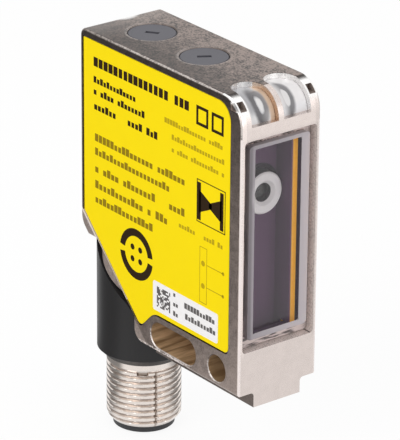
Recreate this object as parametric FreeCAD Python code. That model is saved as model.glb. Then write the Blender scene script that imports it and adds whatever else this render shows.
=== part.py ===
"""Safety through-beam sensor: die-cast frame, clear front window, swivelling plug connector.

Millimetres. The origin is the centre of the round mounting hole, on the mid-plane between the
two sides. +X is the beam's direction out of the window, +Z is up and -Y is the label side.
"""
import FreeCAD
import Part
import math
import os

# Housing outline, measured from the round mounting hole
WIDTH = 15.0
DEPTH = 40.2
FRONT_X = 5.4
TOP_Z = 44.9
FOOT_DROP = 2.8
TOP_FRONT_RADIUS = 4.5
TOP_REAR_RADIUS = 1.2
EDGE_ROUND = 0.4
LUG_RISE = 1.0
LUG_RADIUS = 2.0
RIDGE_WIDTH = 9.0
RIDGE_DROP = 2.5
RIDGE_LENGTH = 24.5
RIDGE_FILLET = 0.6

# Slanted rear corner that carries the connector, at 45 degrees
DIAGONAL = 14.15
LIP_RISE = 1.55
LIP_Z = 10.8
LIP_RADIUS = 3.0
COLLAR_INSET = 0.2
COLLAR_HEIGHT = 1.6

# Walls of the frame
FRONT_WALL = 4.2
TOP_WALL = 3.5
REAR_WALL = 2.0
DIAGONAL_WALL = 2.2
FLOOR_Z = 4.2
CAVITY_RADIUS = 0.4

# Mounting hole and slot
HOLE_DIAMETER = 4.3
HOLE_CHAMFER = 0.15
SLOT_LENGTH = 11.4
SLOT_CENTRE = 10.9

# Side covers, their seals and the stickers; the margins run to the label's edge
LABEL_FRONT = 2.7
LABEL_TOP = 1.35
LABEL_REAR = 0.8
LABEL_DIAGONAL = 0.5
LABEL_BOSS = 3.4
LABEL_CORNER = 3.0
LABEL_TIP = 1.0
LABEL_REAR_RADIUS = 0.2
LABEL_THICKNESS = 0.15
COVER_BORDER = 0.2
SLANT_RIM = 0.3
COVER_SETBACK = 0.25
COVER_THICKNESS = 0.9
COVER_SEAL = 0.25
PANEL_GAP = 0.1
STICKER_LENGTH = 16.2
STICKER_HEIGHT = 4.9
STICKER_FRONT = 5.2
STICKER_RISE = 4.15
STICKER_RADIUS = 0.4
STICKER_THICKNESS = 0.08

# Front window and its seal
WINDOW_WIDTH = 13.6
WINDOW_TOP = 6.6
WINDOW_BOTTOM_Z = 4.2
WINDOW_RADIUS = 0.6
WINDOW_SHOULDER = 1.3
WINDOW_GAP = 0.1
PANE_SETBACK = 0.25
PANE_RISE = 1.25
PANE_SIDE = 1.1
PANE_TOP = 1.0
PANE_BOTTOM = 1.8
PANE_DISH = 0.3
PANE_SIDE_BEVEL = 1.3
PANE_END_BEVEL = 0.75
PANE_FLANGE = 0.5
WINDOW_SEAL = 0.3

# Indicator lenses over the top front corner
LENS_WIDTH = 5.1
LENS_SPACING = 6.1
LENS_LOW = 4.5
LENS_BACK = 6.8
LENS_DEPTH = 2.4
LENS_RECESS = 0.9
LENS_LOW_RADIUS = 1.2
LENS_GAP = 0.05
LIGHT_CHANNEL = 2.6
NOTCH_WIDTH = 1.6
NOTCH_TOP = 0.8
NOTCH_HEIGHT = 1.2
NOTCH_DEPTH = 2.6

# Adjusters in the top wall and the trimmers they turn
ADJUSTER_FRONT_INSET = 18.65
ADJUSTER_REAR_INSET = 8.5
ADJUSTER_SLOT_ANGLES = {"front": 58.0, "rear": 36.0}
ADJUSTER_DIAMETER = 7.6
ADJUSTER_HEIGHT = 2.0
ADJUSTER_SETBACK = 0.1
ADJUSTER_SLOT = 0.8
ADJUSTER_SLOT_LENGTH = 2.2
ADJUSTER_SLOT_DEPTH = 0.6
ADJUSTER_RIM = 0.15
STEM_DIAMETER = 3.0
STEM_GRIP = 0.8
ADJUSTER_SEAL = 0.8
TRIMMER_SIZE = 6.0
TRIMMER_HEIGHT = 4.4
TRIMMER_GAP = 0.3
RUNNING_GAP = 0.05

# Optics behind the window
BEAM_Z = 27.5
BARREL_DIAMETER = 6.7
BARREL_LENGTH = 11.0
BARREL_HOLE = 3.0
BARREL_BORE = 5.0
BARREL_LIP = 1.0
BARREL_SETBACK = 4.2
BARREL_PROUD = 1.7
BARREL_CHAMFER = 0.2
CARRIER_DEPTH = 9.0
CARRIER_WALL = 1.6
CARRIER_BOSS = 9.2
CARRIER_TOP = 6.9
CARRIER_GAP = 0.5
COLLIMATOR_THICKNESS = 1.8
COLLIMATOR_SAG = 0.6
DIODE_FLANGE = 1.2
DIODE_CAN = 3.6
DIODE_CAN_HEIGHT = 2.2
DIODE_LEADS = 3
DIODE_LEAD = 0.45
DIODE_LEAD_LENGTH = 3.0
DIODE_LEAD_CIRCLE = 1.0
FIT_GAP = 0.03

# Circuit boards and what they carry
BOARD_GAP = 0.15
BOARD_THICKNESS = 1.2
BOARD_SETBACK = 2.4
BOARD_REAR_GAP = 2.8
BOARD_CLEARANCE = 0.4
CHIP_HEIGHT = 1.0
CHIP_SIZES = ((7.0, 7.0), (5.0, 4.0), (3.2, 1.6))
CHIP_PLACES = ((20.2, 23.8), (12.2, 11.8), (25.2, 16.3))
LED_BOARD_THICKNESS = 0.8
LED_BOARD_GAP = 0.75
LED_LENGTH = 2.0
LED_WIDTH = 1.6
LED_HEIGHT = 0.9

# Swivel connector
SWIVEL_ALONG = -24.2
ELBOW_GAP = 0.3
ELBOW_BASE = 8.6
ELBOW_FLARE = 2.0
ELBOW_BOTTOM = -9.6
ELBOW_SHOULDER = 1.3
ELBOW_MOUTH = 12.4
ELBOW_BORE = 11.24
ELBOW_BORE_TOP = -3.0
ELBOW_ROOF = 1.0
NECK_DIAMETER = 9.0
NECK_BORE = 5.6
NECK_END = 0.6
SWIVEL_SEAL = 0.88
RETAINER_DIAMETER = 10.2
RETAINER_THICKNESS = 0.8
RETAINER_GROOVE = 0.6
RETAINER_GAP = 0.1
THREAD_DIAMETER = 12.0
THREAD_LENGTH = 11.1
THREAD_COLLAR = 1.0
THREAD_UNDERCUT = 0.4
THREAD_UNDERCUT_DEPTH = 0.4
THREAD_PITCH = 1.0
THREAD_DEPTH = 0.55
THREAD_CREST = 0.2
THREAD_TAPER = 0.8
THREAD_TAPER_DEPTH = 0.6
THREAD_SPIGOT = 5.4
SLEEVE_BORE = 10.0
LINER_PROUD = 1.1
LINER_WALL = 0.6
INSERT_BASE = 3.0
INSERT_TOP = 0.6
PIN_CIRCLE = 5.1
PIN_DIAMETER = 1.0
PIN_RECESS = 1.6
PIN_TAIL = 1.4
WIRE_DIAMETER = 0.7
WIRE_BEND = 0.6
WIRE_BUNDLE = 0.28
WIRE_GATHER = 5.0
WIRE_PADS = 1.8
WIRE_RUN = 2.2
WIRE_JOIN_GAP = 0.2

ROOT2 = math.sqrt(2.0)
HALF = WIDTH / 2.0
REAR_X = FRONT_X - DEPTH
LUG_REACH = DIAGONAL * ROOT2 + LUG_RISE
COLLAR_DIAMETER = WIDTH - 2 * COLLAR_INSET
ELBOW_DIAMETER = WIDTH
ADJUSTER_POSITIONS = {"front": FRONT_X - ADJUSTER_FRONT_INSET, "rear": REAR_X + ADJUSTER_REAR_INSET}
HOLE_R = HOLE_DIAMETER / 2.0
SLOT_REAR_X = -SLOT_CENTRE - SLOT_LENGTH / 2.0 + HOLE_R
SLOT_FRONT_X = -SLOT_CENTRE + SLOT_LENGTH / 2.0 - HOLE_R
LEDGE_Y = HALF - COVER_SETBACK - COVER_THICKNESS - COVER_SEAL
COVER_Y = HALF - COVER_SETBACK
CAVITY_FRONT = FRONT_X - FRONT_WALL
CAVITY_TOP = TOP_Z - TOP_WALL
CAVITY_REAR = REAR_X + REAR_WALL
WINDOW_TOP_Z = TOP_Z - WINDOW_TOP
PANE_DEPTH = PANE_SETBACK + PANE_RISE + PANE_FLANGE
WINDOW_DEPTH = PANE_DEPTH + WINDOW_SEAL
CARRIER_FRONT = FRONT_X - BARREL_SETBACK - BARREL_PROUD
CARRIER_TOP_Z = TOP_Z - CARRIER_TOP
CARRIER_SIDE = COVER_Y - COVER_THICKNESS - CARRIER_GAP
BOARD_Y = BARREL_DIAMETER / 2.0 + BOARD_GAP
LED_BOARD_EDGE = BOARD_Y - LED_BOARD_GAP
FAR = TOP_Z + WIDTH
OVERLAP = 1.0
TINY = 1e-6

Y_AXIS = FreeCAD.Vector(0, 1, 0)
Z_AXIS = FreeCAD.Vector(0, 0, 1)
X_AXIS = FreeCAD.Vector(1, 0, 0)
OUTWARD = FreeCAD.Vector(-1, 0, -1).multiply(1 / ROOT2)


def at(x, y, z):
    """Return a point."""
    return FreeCAD.Vector(x, y, z)


def on_swivel(outward):
    """Return the point of the swivel axis that lies this far out from the mounting hole."""
    return at((SWIVEL_ALONG - outward) / ROOT2, 0, -(SWIVEL_ALONG + outward) / ROOT2)


COLLAR_TOP = DIAGONAL + COLLAR_HEIGHT
SWIVEL_POINT = on_swivel(COLLAR_TOP)
PLUG_X = SWIVEL_POINT.x


def rounded_wire(corners, place):
    """Join corners (a, b, radius) with straight runs and tangent arcs; place(a, b) gives a point."""
    starts = []
    for index, (a, b, radius) in enumerate(corners):
        before = corners[index - 1]
        after = corners[(index + 1) % len(corners)]
        to_before = FreeCAD.Vector(before[0] - a, before[1] - b, 0).normalize()
        to_after = FreeCAD.Vector(after[0] - a, after[1] - b, 0).normalize()
        half_angle = to_before.getAngle(to_after) / 2.0
        tangent = radius / math.tan(half_angle)
        corner = FreeCAD.Vector(a, b, 0)
        middle = (to_before + to_after).normalize() * (radius / math.sin(half_angle) - radius)
        starts.append((corner + to_before * tangent, corner + middle, corner + to_after * tangent, radius))
    edges = []
    for index, (enter, middle, leave, radius) in enumerate(starts):
        if radius > 0:
            edges.append(Part.Arc(place(enter), place(middle), place(leave)).toShape())
        next_enter = starts[(index + 1) % len(starts)][0]
        if (next_enter - leave).Length > TINY:
            edges.append(Part.LineSegment(place(leave), place(next_enter)).toShape())
    return Part.Wire(edges)


def side_prism(corners, y_low, y_high):
    """Extrude an outline of (x, z, radius) corners across the part, from y_low to y_high."""
    wire = rounded_wire(corners, lambda p: at(p.x, y_low, p.y))
    return Part.Face(wire).extrude(at(0, y_high - y_low, 0))


def front_prism(corners, x_low, x_high):
    """Extrude an outline of (y, z, radius) corners along the beam, from x_low to x_high."""
    wire = rounded_wire(corners, lambda p: at(x_low, p.x, p.y))
    return Part.Face(wire).extrude(at(x_high - x_low, 0, 0))


def top_prism(corners, z_low, z_high):
    """Extrude an outline of (x, y, radius) corners upwards, from z_low to z_high."""
    wire = rounded_wire(corners, lambda p: at(p.x, p.y, z_low))
    return Part.Face(wire).extrude(at(0, 0, z_high - z_low))


def oblong(low_a, high_a, low_b, high_b, radius):
    """Return the four corners of a rectangle with one corner radius."""
    ends = ((low_a, low_b), (high_a, low_b), (high_a, high_b), (low_a, high_b))
    return [(a, b, radius) for a, b in ends]


def block(x_low, x_high, y_low, y_high, z_low, z_high):
    """Return a box between two corners."""
    return Part.makeBox(x_high - x_low, y_high - y_low, z_high - z_low, at(x_low, y_low, z_low))


def turned(profile, base, axis):
    """Turn a closed profile of (radius, height) points about an axis that starts at base."""
    points = [at(radius, 0, height) for radius, height in profile]
    face = Part.Face(Part.makePolygon(points + points[:1]))
    solid = face.revolve(at(0, 0, 0), Z_AXIS, 360)
    solid.Placement = FreeCAD.Placement(base, FreeCAD.Rotation(Z_AXIS, axis))
    return solid


def ring(ring_radius, section_radius, base, axis):
    """Return a round-section sealing ring."""
    return Part.makeTorus(ring_radius, section_radius, base, axis)


def outline_corners():
    """Return the frame's side outline."""
    slant = -DIAGONAL * ROOT2
    lip_slant = -(DIAGONAL + LIP_RISE) * ROOT2
    return [
        (FRONT_X, -FOOT_DROP, 0),
        (FRONT_X, TOP_Z, TOP_FRONT_RADIUS),
        (REAR_X, TOP_Z, TOP_REAR_RADIUS),
        (REAR_X, lip_slant - REAR_X, LIP_RADIUS),
        (lip_slant - LIP_Z, LIP_Z, 0),
        (slant - LIP_Z, LIP_Z, 0),
        (-LUG_REACH, slant + LUG_REACH, 0),
        (-LUG_REACH, -FOOT_DROP, LUG_RADIUS),
    ]


def panel_corners(border, diagonal_margin):
    """Return a side panel's outline: the label's edge moved out by a border."""
    front = FRONT_X - LABEL_FRONT + border
    top = TOP_Z - LABEL_TOP + border
    rear = REAR_X + LABEL_REAR - border
    boss = LABEL_BOSS - border
    slant = -(DIAGONAL - diagonal_margin) * ROOT2
    turn = SLOT_REAR_X - boss * ROOT2
    return [
        (front, boss, LABEL_TIP),
        (front, top, LABEL_CORNER),
        (rear, top, LABEL_REAR_RADIUS),
        (rear, slant - rear, LABEL_REAR_RADIUS),
        ((slant + turn) / 2.0, (slant - turn) / 2.0, LABEL_TIP),
        (turn + boss, boss, boss),
    ]


def cavity_corners():
    """Return the outline of the space inside the frame."""
    slant = -(DIAGONAL - DIAGONAL_WALL) * ROOT2
    return [
        (CAVITY_FRONT, FLOOR_Z, CAVITY_RADIUS),
        (CAVITY_FRONT, CAVITY_TOP, CAVITY_RADIUS),
        (CAVITY_REAR, CAVITY_TOP, CAVITY_RADIUS),
        (CAVITY_REAR, slant - CAVITY_REAR, CAVITY_RADIUS),
        (slant - FLOOR_Z, FLOOR_Z, CAVITY_RADIUS),
    ]


def slot_corners(grow):
    """Return the mounting slot's outline, grown by a distance."""
    radius = HOLE_R + grow
    return oblong(SLOT_REAR_X - radius, SLOT_FRONT_X + radius, -radius, radius, radius)


def countersinks(side):
    """Return the chamfers of the mounting hole and slot on one side, +1 or -1."""
    face_y = side * HALF
    inner_y = side * (HALF - HOLE_CHAMFER)
    cone = Part.makeCone(HOLE_R + HOLE_CHAMFER, HOLE_R, HOLE_CHAMFER, at(0, face_y, 0), Y_AXIS * -side)
    outer = rounded_wire(slot_corners(HOLE_CHAMFER), lambda p: at(p.x, face_y, p.y))
    inner = rounded_wire(slot_corners(0), lambda p: at(p.x, inner_y, p.y))
    return [cone, Part.makeLoft([outer, inner], True, True)]


def lens_centres():
    """Return the two indicator lenses' places across the part, by side."""
    return {"left": -LENS_SPACING / 2.0, "right": LENS_SPACING / 2.0}


def corner_band(outer_inset, inner_inset):
    """Return the part of the top front corner between two insets from its surface."""
    bands = []
    for inset in (outer_inset, inner_inset):
        corners = [
            (FRONT_X - inset, -FOOT_DROP, 0),
            (FRONT_X - inset, TOP_Z - inset, TOP_FRONT_RADIUS - inset),
            (REAR_X, TOP_Z - inset, 0),
            (REAR_X, -FOOT_DROP, 0),
        ]
        bands.append(side_prism(corners, -WIDTH, WIDTH))
    return bands[0].cut(bands[1])


def lens_block(centre_y, gap):
    """Return the room of one lens: rounded on the front face and a full round on the top."""
    half = LENS_WIDTH / 2.0 - gap
    low = TOP_Z - LENS_LOW + gap
    back = FRONT_X - LENS_BACK + gap
    sides = (centre_y - half, centre_y + half)
    front_room = [
        (sides[0], low, LENS_LOW_RADIUS),
        (sides[1], low, LENS_LOW_RADIUS),
        (sides[1], TOP_Z + LENS_DEPTH, 0),
        (sides[0], TOP_Z + LENS_DEPTH, 0),
    ]
    top_room = [
        (back, sides[0], half),
        (FRONT_X + LENS_DEPTH, sides[0], 0),
        (FRONT_X + LENS_DEPTH, sides[1], 0),
        (back, sides[1], half),
    ]
    front = front_prism(front_room, FRONT_X - TOP_FRONT_RADIUS, FRONT_X + LENS_DEPTH)
    top = top_prism(top_room, TOP_Z - TOP_FRONT_RADIUS, TOP_Z + LENS_DEPTH)
    return front.fuse(top)


def light_channel(centre_y):
    """Return the slanted hole that leads light from inside to one lens."""
    start = at(FRONT_X - LENS_DEPTH / 2.0, centre_y, TOP_Z - LENS_DEPTH / 2.0)
    return Part.makeCylinder(LIGHT_CHANNEL / 2.0, FRONT_WALL + TOP_WALL, start, OUTWARD)


def side_notch(side):
    """Return the small square notch in one end of the top front corner."""
    edge = side * (HALF - NOTCH_WIDTH)
    outside = side * WIDTH
    top = TOP_Z - NOTCH_TOP
    low_y, high_y = min(edge, outside), max(edge, outside)
    return block(FRONT_X - NOTCH_DEPTH, FRONT_X + NOTCH_DEPTH, low_y, high_y, top - NOTCH_HEIGHT, top)


def frame_blank():
    """Return the frame's outer form with its edges rounded, its foot ridge and its round collar."""
    body = side_prism(outline_corners(), -HALF, HALF)
    rims = [edge for edge in body.Edges if edge.BoundBox.YLength < TINY]
    body = body.makeFillet(EDGE_ROUND, rims)
    root = -FOOT_DROP
    half = RIDGE_WIDTH / 2.0
    flared = half + RIDGE_FILLET
    ridge_outline = [
        (-half, root - RIDGE_DROP, 0),
        (half, root - RIDGE_DROP, 0),
        (half, root, RIDGE_FILLET),
        (flared, root, 0),
        (flared, root + OVERLAP, 0),
        (-flared, root + OVERLAP, 0),
        (-flared, root, 0),
        (-half, root, RIDGE_FILLET),
    ]
    ridge = front_prism(ridge_outline, FRONT_X - RIDGE_LENGTH, FRONT_X)
    collar_base = on_swivel(DIAGONAL - DIAGONAL_WALL / 2.0)
    collar_height = COLLAR_HEIGHT + DIAGONAL_WALL / 2.0
    collar = Part.makeCylinder(COLLAR_DIAMETER / 2.0, collar_height, collar_base, OUTWARD)
    return body.fuse([ridge, collar])


def adjuster_rooms(x):
    """Return the counterbore, stem hole and rim chamfer of one adjuster in the top wall."""
    radius = ADJUSTER_DIAMETER / 2.0 + RUNNING_GAP
    floor = TOP_Z - ADJUSTER_SETBACK - ADJUSTER_HEIGHT - RUNNING_GAP
    counterbore = Part.makeCylinder(radius, TOP_WALL, at(x, 0, floor))
    stem_hole = Part.makeCylinder(STEM_DIAMETER / 2.0 + RUNNING_GAP, FAR, at(x, 0, CAVITY_TOP - OVERLAP))
    rim = Part.makeCone(radius, radius + ADJUSTER_RIM, ADJUSTER_RIM, at(x, 0, TOP_Z - ADJUSTER_RIM))
    return [counterbore, stem_hole, rim]


def window_corners(shrink, radius):
    """Return the front window's outline, made smaller all round."""
    half = WINDOW_WIDTH / 2.0 - shrink
    return oblong(-half, half, WINDOW_BOTTOM_Z + shrink, WINDOW_TOP_Z - shrink, radius)


def housing_frame():
    """Return the die-cast frame with every room that the other pieces sit in."""
    tools = [side_prism(cavity_corners(), -WIDTH, WIDTH)]
    recess = panel_corners(COVER_BORDER, SLANT_RIM)
    tools.append(side_prism(recess, -WIDTH, -LEDGE_Y))
    tools.append(side_prism(recess, LEDGE_Y, WIDTH))
    tools.append(front_prism(window_corners(0, WINDOW_RADIUS), FRONT_X - WINDOW_DEPTH, FRONT_X + OVERLAP))
    inner = window_corners(WINDOW_SHOULDER, WINDOW_RADIUS)
    tools.append(front_prism(inner, CAVITY_FRONT - OVERLAP, FRONT_X))
    bore_start = on_swivel(DIAGONAL - 2 * DIAGONAL_WALL)
    bore = Part.makeCylinder(NECK_DIAMETER / 2.0 + RUNNING_GAP, FAR, bore_start, OUTWARD)
    tools.append(bore)
    tools.append(Part.makeCylinder(HOLE_R, 2 * WIDTH, at(0, -WIDTH, 0), Y_AXIS))
    tools.append(side_prism(slot_corners(0), -WIDTH, WIDTH))
    for side in (-1, 1):
        tools += countersinks(side)
        tools.append(side_notch(side))
    for centre_y in lens_centres().values():
        tools.append(lens_block(centre_y, 0).common(corner_band(-OVERLAP, LENS_DEPTH)))
        tools.append(light_channel(centre_y))
    for x in ADJUSTER_POSITIONS.values():
        tools += adjuster_rooms(x)
    return frame_blank().cut(tools)


def indicator_lens(centre_y):
    """Return one clear lens, curved with the corner and a little below its surface."""
    return lens_block(centre_y, LENS_GAP).common(corner_band(LENS_RECESS, LENS_DEPTH - LENS_GAP))


def side_cover(side):
    """Return a side cover on its seal, -1 for the label side and +1 for the plain side."""
    outer = side * COVER_Y
    inner = side * (COVER_Y - COVER_THICKNESS)
    outline = panel_corners(COVER_BORDER - PANEL_GAP, SLANT_RIM + PANEL_GAP)
    return side_prism(outline, min(outer, inner), max(outer, inner))


def cover_seal(side):
    """Return the flat seal between a side cover and the frame's ledge."""
    outer = side * (COVER_Y - COVER_THICKNESS)
    inner = side * LEDGE_Y
    outline = panel_corners(COVER_BORDER - PANEL_GAP, SLANT_RIM + PANEL_GAP)
    seal = side_prism(outline, min(outer, inner), max(outer, inner))
    return seal.cut(side_prism(cavity_corners(), -WIDTH, WIDTH))


def rating_label():
    """Return the foil label on the label side's cover."""
    return side_prism(panel_corners(0, LABEL_DIAGONAL), -COVER_Y - LABEL_THICKNESS, -COVER_Y)


def serial_sticker():
    """Return the small white sticker on the label."""
    front = FRONT_X - STICKER_FRONT
    top = STICKER_RISE + STICKER_HEIGHT
    outline = oblong(front - STICKER_LENGTH, front, STICKER_RISE, top, STICKER_RADIUS)
    face = -COVER_Y - LABEL_THICKNESS
    return side_prism(outline, face - STICKER_THICKNESS, face)


def plateau_corners(side_bevel, end_bevel):
    """Return the outline of the window's plateau, made smaller at its sides and ends."""
    half = WINDOW_WIDTH / 2.0 - PANE_SIDE - side_bevel
    low = WINDOW_BOTTOM_Z + PANE_BOTTOM + end_bevel
    return oblong(-half, half, low, WINDOW_TOP_Z - PANE_TOP - end_bevel, WINDOW_RADIUS)


def front_window():
    """Return the clear window: a flange and a plateau whose border slopes down to the clear field."""
    crown = FRONT_X - PANE_SETBACK
    flange_front = crown - PANE_RISE
    outer = window_corners(WINDOW_GAP, WINDOW_RADIUS)
    flange = front_prism(outer, flange_front - PANE_FLANGE, flange_front)
    plateau = front_prism(plateau_corners(0, 0), flange_front, crown)
    field = plateau_corners(PANE_SIDE_BEVEL, PANE_END_BEVEL)
    high = rounded_wire(plateau_corners(0, 0), lambda p: at(crown, p.x, p.y))
    low = rounded_wire(field, lambda p: at(crown - PANE_DISH, p.x, p.y))
    dish = Part.makeLoft([high, low], True, True)
    return flange.fuse(plateau).removeSplitter().cut(dish)


def window_seal():
    """Return the flat seal behind the window's flange."""
    back = FRONT_X - WINDOW_DEPTH
    outer = front_prism(window_corners(WINDOW_GAP, WINDOW_RADIUS), back, back + WINDOW_SEAL)
    inner = front_prism(window_corners(WINDOW_SHOULDER, WINDOW_RADIUS), back - OVERLAP, FRONT_X)
    return outer.cut(inner)


def adjuster(x, slot_angle):
    """Return a slotted adjuster: a recessed head with a seal groove, and its stem."""
    radius = ADJUSTER_DIAMETER / 2.0
    stem = STEM_DIAMETER / 2.0
    top = TOP_Z - ADJUSTER_SETBACK
    bottom = top - ADJUSTER_HEIGHT
    groove_floor = radius - ADJUSTER_SEAL
    groove_top = bottom + ADJUSTER_SEAL + 2 * FIT_GAP + ADJUSTER_RIM
    stem_end = CAVITY_TOP - TRIMMER_GAP - STEM_GRIP
    profile = [
        (0, top),
        (radius - ADJUSTER_RIM, top),
        (radius, top - ADJUSTER_RIM),
        (radius, groove_top),
        (groove_floor, groove_top),
        (groove_floor, bottom + ADJUSTER_RIM),
        (radius, bottom + ADJUSTER_RIM),
        (radius, bottom),
        (stem, bottom),
        (stem, stem_end),
        (0, stem_end),
    ]
    body = turned(profile, at(x, 0, 0), Z_AXIS)
    half_slot = ADJUSTER_SLOT_LENGTH / 2.0
    slot_floor = top - ADJUSTER_SLOT_DEPTH
    slot = block(-half_slot, half_slot, -ADJUSTER_SLOT / 2.0, ADJUSTER_SLOT / 2.0, slot_floor, TOP_Z)
    slot.rotate(at(0, 0, 0), Z_AXIS, slot_angle)
    slot.translate(at(x, 0, 0))
    return body.cut(slot)


def adjuster_seal(x):
    """Return the sealing ring in an adjuster's groove."""
    section = ADJUSTER_SEAL / 2.0 - FIT_GAP / 2.0
    bottom = TOP_Z - ADJUSTER_SETBACK - ADJUSTER_HEIGHT
    middle = bottom + ADJUSTER_RIM + FIT_GAP + ADJUSTER_SEAL / 2.0
    return ring(ADJUSTER_DIAMETER / 2.0 - ADJUSTER_SEAL / 2.0, section, at(x, 0, middle), Z_AXIS)


def trimmer(x):
    """Return a trimmer on the main board, with the socket that an adjuster's stem turns."""
    top = CAVITY_TOP - TRIMMER_GAP
    half = TRIMMER_SIZE / 2.0
    body = block(x - half, x + half, BOARD_Y - TRIMMER_SIZE, BOARD_Y, top - TRIMMER_HEIGHT, top)
    depth = STEM_GRIP + TRIMMER_GAP
    socket = Part.makeCylinder(STEM_DIAMETER / 2.0 + RUNNING_GAP, depth, at(x, 0, top - depth))
    return body.cut(socket)


def optics_carrier():
    """Return the dark moulding behind the window that holds the barrel and the small board."""
    front = CARRIER_FRONT
    rear = front - CARRIER_DEPTH
    wall = CARRIER_WALL
    face = block(front - wall, front, -CARRIER_SIDE, BOARD_Y, FLOOR_Z, CARRIER_TOP_Z)
    shelf = block(rear, front, -CARRIER_SIDE, BOARD_Y, CARRIER_TOP_Z - wall, CARRIER_TOP_Z)
    foot = block(rear, front, -CARRIER_SIDE, BOARD_Y, FLOOR_Z, FLOOR_Z + wall)
    boss = Part.makeCylinder(CARRIER_BOSS / 2.0, CARRIER_DEPTH, at(rear, 0, BEAM_Z), X_AXIS)
    trim = block(rear, front, -CARRIER_SIDE, BOARD_Y, FLOOR_Z, CARRIER_TOP_Z)
    bore = Part.makeCylinder(BARREL_DIAMETER / 2.0 + FIT_GAP, FAR, at(-FAR / 2.0, 0, BEAM_Z), X_AXIS)
    return face.fuse([shelf, foot, boss.common(trim)]).cut(bore).removeSplitter()


def laser_barrel():
    """Return the barrel whose front is the ring with the beam's aperture."""
    front = FRONT_X - BARREL_SETBACK
    outer = BARREL_DIAMETER / 2.0
    hole = BARREL_HOLE / 2.0
    profile = [
        (hole + BARREL_LIP / 2.0, 0),
        (outer - BARREL_CHAMFER, 0),
        (outer, -BARREL_CHAMFER),
        (outer, -BARREL_LENGTH),
        (BARREL_BORE / 2.0, -BARREL_LENGTH),
        (BARREL_BORE / 2.0, -BARREL_LIP),
        (hole, -BARREL_LIP),
        (hole, -BARREL_LIP / 2.0),
    ]
    return turned(profile, at(front, 0, BEAM_Z), X_AXIS)


def collimator_lens():
    """Return the lens behind the aperture, domed towards the front."""
    front = FRONT_X - BARREL_SETBACK - BARREL_LIP - FIT_GAP
    radius = BARREL_BORE / 2.0 - FIT_GAP
    rim = -COLLIMATOR_SAG
    back = -COLLIMATOR_THICKNESS
    sphere = (radius ** 2 + COLLIMATOR_SAG ** 2) / (2 * COLLIMATOR_SAG)
    dome_middle = at(radius / 2.0, 0, math.sqrt(sphere ** 2 - radius ** 2 / 4.0) - sphere)
    dome = Part.Arc(at(0, 0, 0), dome_middle, at(radius, 0, rim)).toShape()
    rest = Part.makePolygon([at(radius, 0, rim), at(radius, 0, back), at(0, 0, back), at(0, 0, 0)])
    lens = Part.Face(Part.Wire([dome] + rest.Edges)).revolve(at(0, 0, 0), Z_AXIS, 360)
    lens.Placement = FreeCAD.Placement(at(front, 0, BEAM_Z), FreeCAD.Rotation(Z_AXIS, X_AXIS))
    return lens


def laser_diode():
    """Return the emitter can at the barrel's rear, with its leads."""
    rear = FRONT_X - BARREL_SETBACK - BARREL_LENGTH
    flange_radius = BARREL_BORE / 2.0 - FIT_GAP
    flange = Part.makeCylinder(flange_radius, DIODE_FLANGE, at(rear, 0, BEAM_Z), X_AXIS)
    can_start = rear + DIODE_FLANGE
    can = Part.makeCylinder(DIODE_CAN / 2.0, DIODE_CAN_HEIGHT, at(can_start, 0, BEAM_Z), X_AXIS)
    leads = []
    for turn in range(DIODE_LEADS):
        angle = math.pi / 2.0 + 2.0 * math.pi * turn / DIODE_LEADS
        y = DIODE_LEAD_CIRCLE * math.cos(angle)
        z = BEAM_Z + DIODE_LEAD_CIRCLE * math.sin(angle)
        start = at(rear - DIODE_LEAD_LENGTH, y, z)
        leads.append(Part.makeCylinder(DIODE_LEAD / 2.0, DIODE_LEAD_LENGTH, start, X_AXIS))
    return flange.fuse([can] + leads)


def main_board():
    """Return the circuit board, whose front edge shows behind the window."""
    low = FLOOR_Z
    high = CAVITY_TOP - BOARD_CLEARANCE
    neck_low = WINDOW_BOTTOM_Z + WINDOW_SHOULDER + BOARD_CLEARANCE
    neck_high = WINDOW_TOP_Z - WINDOW_SHOULDER - BOARD_CLEARANCE
    front = CAVITY_FRONT - BOARD_CLEARANCE
    rear = CAVITY_REAR + BOARD_REAR_GAP
    slant = -(DIAGONAL - DIAGONAL_WALL - RETAINER_THICKNESS - NECK_END - 2 * BOARD_CLEARANCE) * ROOT2
    corners = [
        (front, low, 0),
        (front, neck_low, 0),
        (FRONT_X - BOARD_SETBACK, neck_low, 0),
        (FRONT_X - BOARD_SETBACK, neck_high, 0),
        (front, neck_high, 0),
        (front, high, 0),
        (rear, high, 0),
        (rear, slant - rear, 0),
        (slant - low, low, 0),
    ]
    return side_prism(corners, BOARD_Y, BOARD_Y + BOARD_THICKNESS)


def board_chips():
    """Return the chips on the main board's inner face."""
    chips = []
    for (length, height), (back, rise) in zip(CHIP_SIZES, CHIP_PLACES):
        x = CAVITY_FRONT - back - length / 2.0
        z = FLOOR_Z + rise - height / 2.0
        chips.append(block(x, x + length, BOARD_Y - CHIP_HEIGHT, BOARD_Y, z, z + height))
    return Part.makeCompound(chips)


def indicator_board():
    """Return the small board on the carrier's top, under the indicator lenses."""
    front = CARRIER_FRONT
    top = CARRIER_TOP_Z + LED_BOARD_THICKNESS
    return block(front - CARRIER_DEPTH, front, -CARRIER_SIDE, LED_BOARD_EDGE, CARRIER_TOP_Z, top)


def indicator_led(centre_y):
    """Return one light on the small board."""
    low = CARRIER_TOP_Z + LED_BOARD_THICKNESS
    front = CARRIER_FRONT - BOARD_CLEARANCE
    half = LED_WIDTH / 2.0
    middle = min(centre_y, LED_BOARD_EDGE - half)
    return block(front - LED_LENGTH, front, middle - half, middle + half, low, low + LED_HEIGHT)


def swivel_seat():
    """Return the swivel neck's stations, as distances out from the mounting hole."""
    wall_inner = DIAGONAL - DIAGONAL_WALL
    retainer_outer = wall_inner - RETAINER_GAP
    retainer_inner = retainer_outer - RETAINER_THICKNESS
    return {
        "base": COLLAR_TOP + ELBOW_GAP,
        "seal": (COLLAR_TOP + wall_inner) / 2.0,
        "retainer_outer": retainer_outer,
        "retainer_inner": retainer_inner,
        "end": retainer_inner - NECK_END,
    }


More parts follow.
